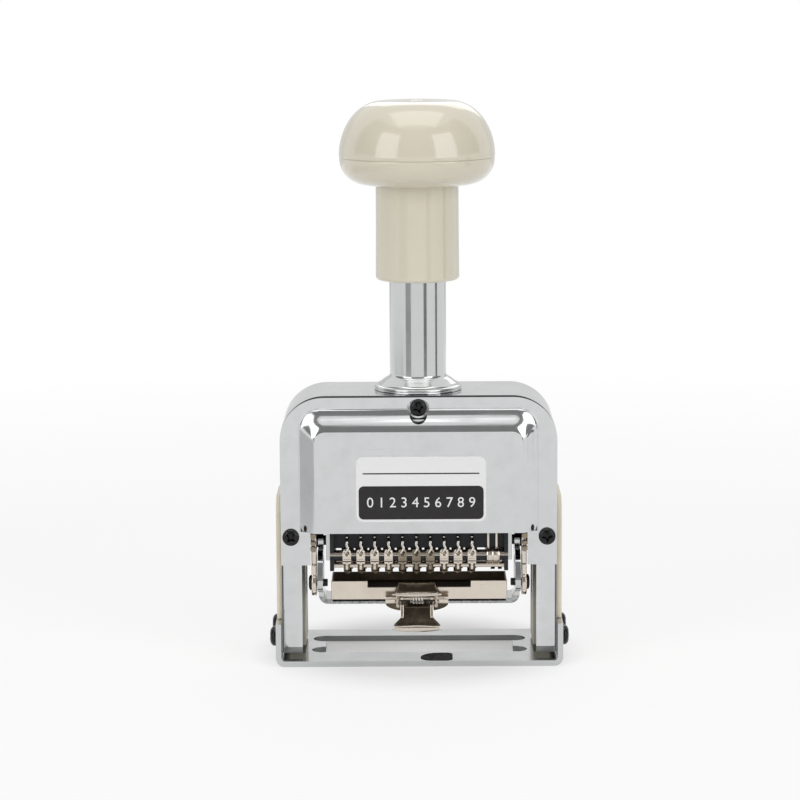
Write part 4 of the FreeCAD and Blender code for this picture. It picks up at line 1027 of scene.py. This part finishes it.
# %% Model one cross-head screw
def screw_master():
    """A pan head of radius 1 mm and height 1 mm on the XY plane, opening upwards."""
    bpy.ops.mesh.primitive_cylinder_add(vertices=48, radius=MM, depth=MM, location=(0, 0, MM / 2))
    head = settle(added("screw_master"))
    pick(head, "edges", lambda edge: min(p.z for p in ends(head, edge)) > 0.9)
    bpy.ops.mesh.bevel(offset=0.6 * MM, segments=7, profile=0.5, affect="EDGES")
    done()
    cutters = []
    for turn in (0, math.pi / 2):
        bpy.ops.mesh.primitive_cone_add(vertices=4, radius1=0.42 * MM, radius2=0.92 * MM,
                                        depth=1.3 * MM, location=(0, 0, 0.80 * MM))
        cutter = added("screw_cutter")
        cutter.scale = (1.0, 0.42, 1.0)
        cutter.rotation_euler = (0, 0, turn)
        cutters.append(settle(cutter))
    cut_away(head, cutters)
    only(head)
    smooth(35)
    return head


master = screw_master()


# %% Copy it to every place
def screw_set(name, places, radius, tall, body, stands_for, extras=()):
    """Copies of the master at (place, outward axis, turn), joined as one piece."""
    copies = []
    for spot, outward, turn in places:
        aim_out = Vector(outward).to_track_quat("Z", "Y").to_matrix().to_4x4()
        size = Matrix.Diagonal((radius, radius, tall, 1))
        copies.append(copy_of(master, name, moved(*spot) @ aim_out
                              @ Matrix.Rotation(math.radians(turn), 4, "Z") @ size))
    piece = joined(name, copies + list(extras))
    return fit(piece, body, black_oxide_and_painted_shade, stands_for)


def rod_along_x(radius, near, far, y, z, vertices=32):
    """A round bar along X with softened ends, in mm."""
    bpy.ops.mesh.primitive_cylinder_add(
        vertices=vertices, radius=radius * MM, depth=abs(far - near) * MM,
        location=((near + far) / 2 * MM, y * MM, z * MM), rotation=(0, math.pi / 2, 0))
    bar = settle(added("bar"))
    return eased(bar, min(0.2, radius / 4))


BASE_SCREW = (39.7, 7.5, 6.2)
CAM = (-11.0, 22.2)
CAM_OUT = 29.8
THREAD_START, THREAD_PITCH, THREAD_WIDE = 25.5, 0.32, 0.16
cover_places = [((x, face * -COVER_FACE, z), (0, face, 0), turn) for face in (-1, 1)
                for x, z, turn in ((0, SCREW_HIGH, 20), (-SCREW_SIDE, SCREW_LOW, 50),
                                   (SCREW_SIDE, SCREW_LOW, 5))]
screw_set("cover_screw_heads", cover_places, 2.35, 1.5, "frame", ["cover_screws"])
base_places = [((side * BASE_SCREW[0], way * BASE_SCREW[1], BASE_SCREW[2]), (side, 0, 0), turn)
               for side in (-1, 1) for way, turn in ((-1, 15), (1, 65))]
screw_set("base_screw_heads", base_places, 2.8, 2.1, "frame", ["base_screws"])
cam_places, shanks = [], []
for side in (-1, 1):
    cam_places.append(((side * CAM_OUT, *CAM), (side, 0, 0), 30))
    shanks.append(rod_along_x(1.0, side * 25.4, side * (CAM_OUT + 0.1), *CAM))
    for turn in range(4):
        start = THREAD_START + turn * THREAD_PITCH
        shanks.append(rod_along_x(1.12, side * start, side * (start + THREAD_WIDE), *CAM))
screw_set("cam_screws_finished", cam_places, 2.1, 0.9, "frame", ["cam_screws"], shanks)
paint(frame["nodes"]["pivot_screws"], black_oxide_and_painted_shade)
bpy.data.objects.remove(master)
print("screws", len(cover_places) + len(base_places) + len(cam_places))

# %% Small bushes on the front edges of the hangers
BUSH_OUT = 29.2
BUSH_BACK = -12.0
bushes = [eased(drill(radius, near, BUSH_BACK, side * BUSH_OUT, z, 24), 0.15) for side in (-1, 1)
          for z, near, radius in ((35.9, -14.2, 0.85), (33.9, -14.4, 0.70), (32.2, -14.1, 0.85))]
fit(joined("hanger_bushes", bushes), "frame", nickel_dark)
print("bushes", len(bushes))


# %% [markdown]
# ## Number wheels
# Each wheel is a turned drum with a toothed rim and ten raised figures on blocks round it. The
# figures are cut as mirror images, so that they print the right way. One wheel is modelled and
# copied nine times.

# %% Model one wheel at the axle's middle
AXLE_HIGH = 32.2
WHEEL_FIRST = -20.0
WHEEL_PITCH = 3.85
TYPE_RADIUS = 9.7

drum_section = [(2.1, -1.6), (7.7, -1.6), (8.0, -1.35), (8.0, 0.4), (7.3, 0.5), (7.3, 0.7),
                (7.9, 0.8), (7.9, 1.45), (7.7, 1.6), (2.1, 1.6), (2.1, -1.6)]
drum = turned("wheel_master", drum_section, 60)
drum.data.transform(Matrix.Rotation(math.pi / 2, 4, "Y"))
wheel_parts = [drum]
for digit in range(10):
    block = flat_plate("type_block", 1.1, -1.7, 1.7, -9.25, -6.5, 0.25)
    round_edges(block, 0.1, segments=1, weighted=False)
    figure = figures("type_figure", str(digit), 3.0, 0, 0, -TYPE_RADIUS + 0.02, 0.5, mirror=True)
    tooth = flat_plate("ratchet_tooth", 0.35, -0.7, 0.7, -8.3, -7.2, 0.2, 1.1)
    turn = Matrix.Rotation(math.radians(90 + 36 * digit), 4, "X")
    half_turn = Matrix.Rotation(math.radians(90 + 36 * digit + 18), 4, "X")
    block.data.transform(turn)
    figure.data.transform(turn)
    tooth.data.transform(half_turn)
    wheel_parts += [block, figure, tooth]
wheel = joined("wheel_master", wheel_parts)
print("wheel triangles", triangles(wheel))
for number in range(1, 11):
    place = Vector((WHEEL_FIRST + (number - 1) * WHEEL_PITCH, 0, AXLE_HIGH)) * MM
    node = "number_wheel_" + str(number)
    fit(copy_of(wheel, node + "_finished", Matrix.Translation(place)), "wheel_" + str(number),
        type_metal, [node])
bpy.data.objects.remove(wheel)

# %% [markdown]
# ## Pawls and their springs
# A row of small nickel pawls hangs on the rod in front of the wheels. Each has a round eyed head, a
# hub on the rod and a narrower toe, and a bent wire pulls it up to the black plate.


# %% Model one pawl
def slab(name, low, high, edges_along=None, radius=0.0):
    """A block between two corners in mm, with the edges along one axis rounded if asked."""
    middle = [(a + b) / 2 * MM for a, b in zip(low, high)]
    bpy.ops.mesh.primitive_cube_add(size=1.0, location=middle)
    piece = added(name)
    piece.scale = [(b - a) * MM for a, b in zip(low, high)]
    settle(piece)
    if edges_along is not None:
        axis, test = edges_along
        round_along(piece, axis, radius, test)
    return piece


PAWL_ROD = (-11.6, 30.0)
# Pawls that get the shadowed nickel as painted shade.
SHADED_PAWLS = (5, 6, 7)
EYE_HIGH = 31.0
PAWL_FRONT = -13.5
PAWL_HALF = 1.2
hub = rod_along_x(1.85, -1.15, 1.15, *PAWL_ROD, vertices=40)
head = slab("head", (-PAWL_HALF, PAWL_FRONT, 28.4), (PAWL_HALF, -12.4, 32.2),
            (1, lambda m: m.z > 31), 1.15)
shoulder = slab("shoulder", (-PAWL_HALF, PAWL_FRONT, 27.9), (PAWL_HALF, -12.6, 28.9),
                (1, lambda m: m.z < 28.2), 0.45)
cut_away(head, [drill(0.6, -15, -11, 0, EYE_HIGH, 28)])
ridge = slab("ridge", (-1.15, -13.58, 29.1), (1.15, -13.3, 29.35))
bpy.ops.mesh.primitive_torus_add(location=(0, PAWL_FRONT * MM, EYE_HIGH * MM),
                                 rotation=(math.pi / 2, 0, 0), major_radius=0.85 * MM,
                                 minor_radius=0.22 * MM, major_segments=28, minor_segments=8)
eyelet = settle(added("eyelet"))
upper_pawl = [eased(part, 0.12) for part in (head, shoulder, ridge)]
toe = slab("toe", (-0.85, -13.35, 26.0), (0.85, -12.5, 28.3), (1, lambda m: m.z < 27), 0.5)
spur = slab("spur", (-0.35, -13.5, 26.3), (0.35, -13.2, 28.1), (1, lambda m: True), 0.3)
bpy.ops.mesh.primitive_uv_sphere_add(segments=20, ring_count=10, radius=0.55 * MM,
                                     location=(0, -13.25 * MM, 27.9 * MM))
stud = settle(added("stud"))
eased(toe, 0.14)
eased(spur, 0.08)
pawl_parts = upper_pawl + [hub, eyelet, spur, stud, toe]
for part in pawl_parts:
    paint(part, nickel, nickel_painted_dark_reflection)
# Painted dark reflection: the toe gets the dark nickel.
for face in toe.data.polygons:
    face.material_index = 1
pawl = joined("pawl_master", pawl_parts)
only(pawl)
smooth(35)
print("pawl triangles", triangles(pawl))

# %% Copy it to every wheel
for number in range(1, 11):
    place = Vector((WHEEL_FIRST + (number - 1) * WHEEL_PITCH, 0, 0)) * MM
    node = "detent_pawl_" + str(number)
    twin = copy_of(pawl, node + "_finished", Matrix.Translation(place))
    # Painted shade: these pawls get the shadowed nickel.
    if number in SHADED_PAWLS:
        twin.data.materials[0] = nickel_dark
    fit(twin, "pawl_" + str(number), None, [node])
bpy.data.objects.remove(pawl)


# %% Bend one spring wire
def wire_piece(name, points, radii, resolution=5):
    """A round wire along a smooth line through a few places, as a closed mesh."""
    line = bpy.data.curves.new(name, "CURVE")
    line.dimensions = "3D"
    line.bevel_depth = MM
    line.bevel_resolution = resolution
    line.use_fill_caps = True
    spline = line.splines.new("NURBS")
    spline.points.add(len(points) - 1)
    for point, spot, radius in zip(spline.points, points, radii):
        point.co = (*(Vector(spot) * MM), 1)
        point.radius = radius
    spline.order_u = 4
    spline.use_endpoint_u = True
    spline.resolution_u = 8
    holder = bpy.data.objects.new(name, line)
    scene.collection.objects.link(holder)
    only(holder)
    bpy.ops.object.convert(target="MESH")
    piece = clean(added(name))
    bpy.ops.object.shade_smooth()
    return piece


pull = wire_piece("pull_wire",
                  [(-0.5, -13.75, 30.9), (-0.2, -13.95, 31.6), (0.3, -14.0, 32.0),
                   (0.45, -13.9, 32.6), (-0.1, -13.75, 33.2), (0.05, -13.65, 33.8),
                   (0.1, -13.6, 34.2), (0.05, -13.3, 34.5), (0.0, -12.9, 34.6)],
                  [0.34, 0.38, 0.40, 0.42, 0.42, 0.44, 0.46, 0.44, 0.44])
bpy.ops.mesh.primitive_uv_sphere_add(segments=16, ring_count=10, radius=0.42 * MM,
                                     location=(0, -11.35 * MM, 35.1 * MM))
tip = settle(added("wire_tip"))
bpy.ops.object.shade_smooth()
pull = joined("pull_wire", [pull, tip])

# %% One wire for each pawl
wires = [copy_of(pull, "wire", moved(WHEEL_FIRST + n * WHEEL_PITCH, 0, 0))
         for n in range(10)]
bpy.data.objects.remove(pull)
fit(joined("pawl_springs_finished", wires), "carriage", spring_wire, ["pawl_springs"])
print("wires", len(wires))


# %% Strips and small spool beside the black plate
spool_parts = [rod_along_x(2.0, 18.9, 22.1, *PAWL_ROD, vertices=40)]
for x0, x1 in ((18.75, 19.15), (20.2, 20.6), (21.9, 22.3)):
    spool_parts.append(rod_along_x(2.35, x0, x1, *PAWL_ROD, vertices=40))
for x0, x1, front, high in ((18.9, 19.5, -11.75, 36.8), (21.2, 21.8, -11.6, 36.8)):
    spool_parts.append(eased(slab("strip", (x0, front, 30.5), (x1, front + 0.35, high)), 0.1))
fit(joined("end_spool", spool_parts), "carriage", nickel)
print("spool parts", len(spool_parts))

# %% [markdown]
# ## Wound springs
# A spring is a small circle swept round an axis while it climbs, which is what the screw modifier
# does.


# %% Wind the return spring and the clip's spring
def wound(name, radius, wire, length, turns, steps=28, sides=12):
    """A round wire wound on Z from the origin, with closed ends."""
    bpy.ops.mesh.primitive_circle_add(vertices=sides, radius=wire * MM, location=(radius * MM, 0, 0),
                                      rotation=(math.pi / 2, 0, 0))
    piece = settle(added(name))
    modify(piece, "SCREW", axis="Z", angle=2 * math.pi * turns, screw_offset=length * MM,
           steps=int(steps * turns), render_steps=int(steps * turns), iterations=1)
    edit_all(lambda: bpy.ops.mesh.remove_doubles(threshold=1e-7))
    edit_all(lambda: bpy.ops.mesh.fill_holes(sides=0),
             lambda: bpy.ops.mesh.normals_make_consistent(inside=False))
    smooth(50)
    return piece


SPRING_LOW = 78.6
SPRING_HIGH = 121.4
back_spring = wound("return_spring_finished", 4.6, 0.55, SPRING_HIGH - SPRING_LOW, 13.0)
back_spring.data.transform(Matrix.Translation((0, 0, SPRING_LOW * MM)))
fit(back_spring, "frame", spring_wire, ["return_spring"])
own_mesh(back_spring)
CLIP_MID = -0.65
CLIP_PIN = (-9.3, 17.3)
clip_coil = wound("clip_spring_finished", 1.35, 0.36, 3.2, 4.0)
clip_coil.data.transform(moved(CLIP_MID - 1.6, *CLIP_PIN)
                         @ Matrix.Rotation(math.pi / 2, 4, "Y"))
fit(clip_coil, "pad", spring_wire, ["clip_spring"])
print("springs", triangles(back_spring), "and", triangles(clip_coil), "triangles")


# %% [markdown]
# ## Ink pad
# The felt is a soft block with rounded edges and a slightly uneven top, soaked with ink. It is
# modelled as a subdivided slab whose points are pushed a little by a smooth noise.

# %% Felt block
FELT_HALF, FELT_DEEP = 23.7, 5.4
FELT_LOW, FELT_HIGH = 16.72, 19.25
felt = slab("ink_pad_finished", (-FELT_HALF, -FELT_DEEP, FELT_LOW), (FELT_HALF, FELT_DEEP, FELT_HIGH))
only(felt)
edit_all(lambda: bpy.ops.mesh.subdivide(number_cuts=12))
modify(felt, "BEVEL", width=0.5 * MM, segments=4, limit_method="ANGLE",
       angle_limit=math.radians(40))
clouds = bpy.data.textures.new("felt_clouds", "CLOUDS")
clouds.noise_scale = 2.5 * MM
modify(felt, "DISPLACE", texture=clouds, strength=0.16 * MM, mid_level=0.75)
bpy.ops.object.shade_smooth()
fit(felt, "pad", felt_ink, ["ink_pad"])
# A thin black strip under the tray's front makes the dark band between the tray and the bracket.
strip = slab("tray_strip", (-24.3, -6.1, 15.6), (24.3, -5.05, 16.18))
round_edges(strip, 0.15)
fit(strip, "pad", black_matte)
print("felt triangles", triangles(felt))


# %% [markdown]
# ## Sprung clip
# Two bowed leaves of spring sheet stand one above the other. Each widens towards a thick rolled
# lip, and is joined to the pin by two arms. The leaves are subdivided planes shaped row by row.


# %% Helpers for a leaf, a lip and an arm
def bowed_leaf(name, rows, thick, bow, crosses=14):
    """A leaf through rows of (y, z, half width) in mm, bowed outwards in its middle."""
    count = len(rows)
    bpy.ops.mesh.primitive_grid_add(x_subdivisions=crosses, y_subdivisions=count - 1, size=2.0)
    leaf = settle(added(name))
    for number, (y, z, half_wide) in enumerate(rows):
        level = -1.0 + 2.0 * number / (count - 1)
        for point in leaf.data.vertices:
            if abs(point.co.y - level) < 0.01 and point.co.z == 0.0:
                share = point.co.x
                lift_out = bow[number] * (1 - share * share)
                point.co = Vector((CLIP_MID + share * half_wide, y - lift_out, z)) * MM
                point.co.z += 1e-9
    modify(leaf, "SOLIDIFY", thickness=thick * MM, offset=0.0)
    modify(leaf, "SUBSURF", levels=1, render_levels=1)
    smooth(50)
    return leaf


def lens_bar(name, y, z, half_wide, deep, tall):
    """A thick lip, pointed at its ends and full in its middle."""
    bpy.ops.mesh.primitive_uv_sphere_add(segments=24, ring_count=16, radius=1.0,
                                         location=(CLIP_MID * MM, y * MM, z * MM),
                                         rotation=(0, math.pi / 2, 0))
    bar = added(name)
    bar.scale = (tall * MM, deep * MM, half_wide * MM)
    settle(bar)
    bpy.ops.object.shade_smooth()
    return bar


def clip_arm(middle, wide, thick, start, stop):
    """A flat arm in the YZ plane from one place to another, rounded at both ends."""
    (y0, z0), (y1, z1) = start, stop
    span = math.dist(start, stop)
    arm = slab("arm", (middle - wide / 2, -thick, -thick), (middle + wide / 2, span + thick, thick),
               (0, lambda m: True), thick * 0.9)
    turn = Matrix.Rotation(math.atan2(z1 - z0, y1 - y0), 4, "X")
    arm.data.transform(moved(0, y0, z0) @ turn)
    return eased(arm, 0.1)


# %% Put the two leaves together
upper_rows = [(-12.85, 19.5, 6.8), (-12.75, 20.0, 6.35), (-12.5, 20.7, 5.8), (-12.1, 21.6, 5.45),
              (-11.6, 22.5, 5.35)]
lower_rows = [(-12.0, 15.6, 3.9), (-12.7, 13.6, 3.9), (-12.9, 12.6, 4.4), (-13.3, 11.7, 5.4),
              (-13.7, 10.9, 6.3), (-13.9, 10.3, 6.7)]
OUTER, INNER = 5.3, 4.15
upper_parts = [bowed_leaf("leaf_up", upper_rows, 0.45, (0.35, 0.45, 0.5, 0.4, 0.2)),
               lens_bar("lip_up", -13.25, 19.15, 7.0, 0.5, 0.68)]
lower_parts = [bowed_leaf("leaf_low", lower_rows, 0.45, (0.0, 0.0, 0.1, 0.3, 0.4, 0.4)),
               lens_bar("lip_low", -14.3, 9.7, 6.9, 0.5, 0.95)]


def clip_cheek(middle, end):
    """An arm and its eye on the pin."""
    return [clip_arm(middle, 0.9, 0.75, CLIP_PIN, end),
            rod_along_x(1.5, middle - 0.45, middle + 0.45, *CLIP_PIN)]


for side in (-1, 1):
    upper_parts += clip_cheek(CLIP_MID + side * OUTER, (-12.5, 19.2))
    upper_parts.append(clip_arm(CLIP_MID + side * OUTER, 0.8, 0.5, (-10.4, 17.0), (-11.6, 15.6)))
    lower_parts += clip_cheek(CLIP_MID + side * INNER, (-11.9, 15.4))
    lower_parts.append(clip_arm(CLIP_MID + side * INNER, 0.9, 0.5, (-12.1, 15.6), (-13.2, 12.9)))
for parts in (upper_parts, lower_parts):
    for part in parts:
        paint(part, nickel, nickel_painted_dark_reflection)
    # Painted dark reflection: each leaf gets the dark nickel.
    for face in parts[0].data.polygons:
        face.material_index = 1
fit(joined("clip_upper_finished", upper_parts), "clip_top", None, ["clip_upper"])
fit(joined("clip_lower_finished", lower_parts), "clip_bottom", None, ["clip_lower"])
print("clip parts", len(upper_parts), "and", len(lower_parts))

# %% Pin, its two tabs and the foot under the bracket
PIN_HALF = 8.8
FOOT_TOP = 14.68
pin_parts = [rod_along_x(0.6, CLIP_MID - PIN_HALF, CLIP_MID + PIN_HALF, *CLIP_PIN)]
for side in (-1, 1):
    x0, x1 = sorted((CLIP_MID + side * 6.0, CLIP_MID + side * PIN_HALF))
    pin_parts.append(eased(slab("tab", (x0, -10.1, 15.9), (x1, -6.4, 17.2)), 0.15))
for part in pin_parts:
    paint(part, nickel, nickel_painted_dark_reflection)
foot = drill(1.0, -5.0, -4.5, 0, 0, 64)
foot.data.transform(moved(CLIP_MID, 0, FOOT_TOP)
                    @ Matrix.Diagonal((8.8, 1, 2.4, 1)))
bisect(foot, (0, 0, FOOT_TOP), (0, 0, -1), clear_inner=True)
pick(foot, "edges", lambda edge: all(abs(p.z - FOOT_TOP) < 0.01 for p in ends(foot, edge)))
bpy.ops.mesh.edge_face_add()
done()
eased(clean(foot), 0.12)
paint(foot, nickel, nickel_painted_dark_reflection)
# Painted dark reflection: the foot's front faces get the dark nickel.
for face in foot.data.polygons:
    face.material_index = 1 if face.normal.y < -0.7 else 0
fit(joined("clip_pin_finished", pin_parts + [foot]), "pad", None, ["clip_pin"])
print("pin parts", len(pin_parts) + 1)

# %% [markdown]
# ## Dark patch on the base
# The front strip of the base has a small dark rounded patch. It is a thin slab whose
# corners are rounded by different amounts.

# %% Rounded patch
PATCH_LOW, PATCH_HIGH = (0.3, -18.3, 1.58), (9.2, -9.6, 1.66)
patch = slab("dark_base_patch", PATCH_LOW, PATCH_HIGH)
for corner, radius in ((lambda m: m.x < 4 and m.y > -12, 5.0), (lambda m: m.x < 4 and m.y < -16, 3.0),
                       (lambda m: m.x > 8.5, 1.8)):
    round_along(patch, 2, radius, corner, least=0.05)
fit(patch, "frame", black_matte)
print("patch triangles", triangles(patch))
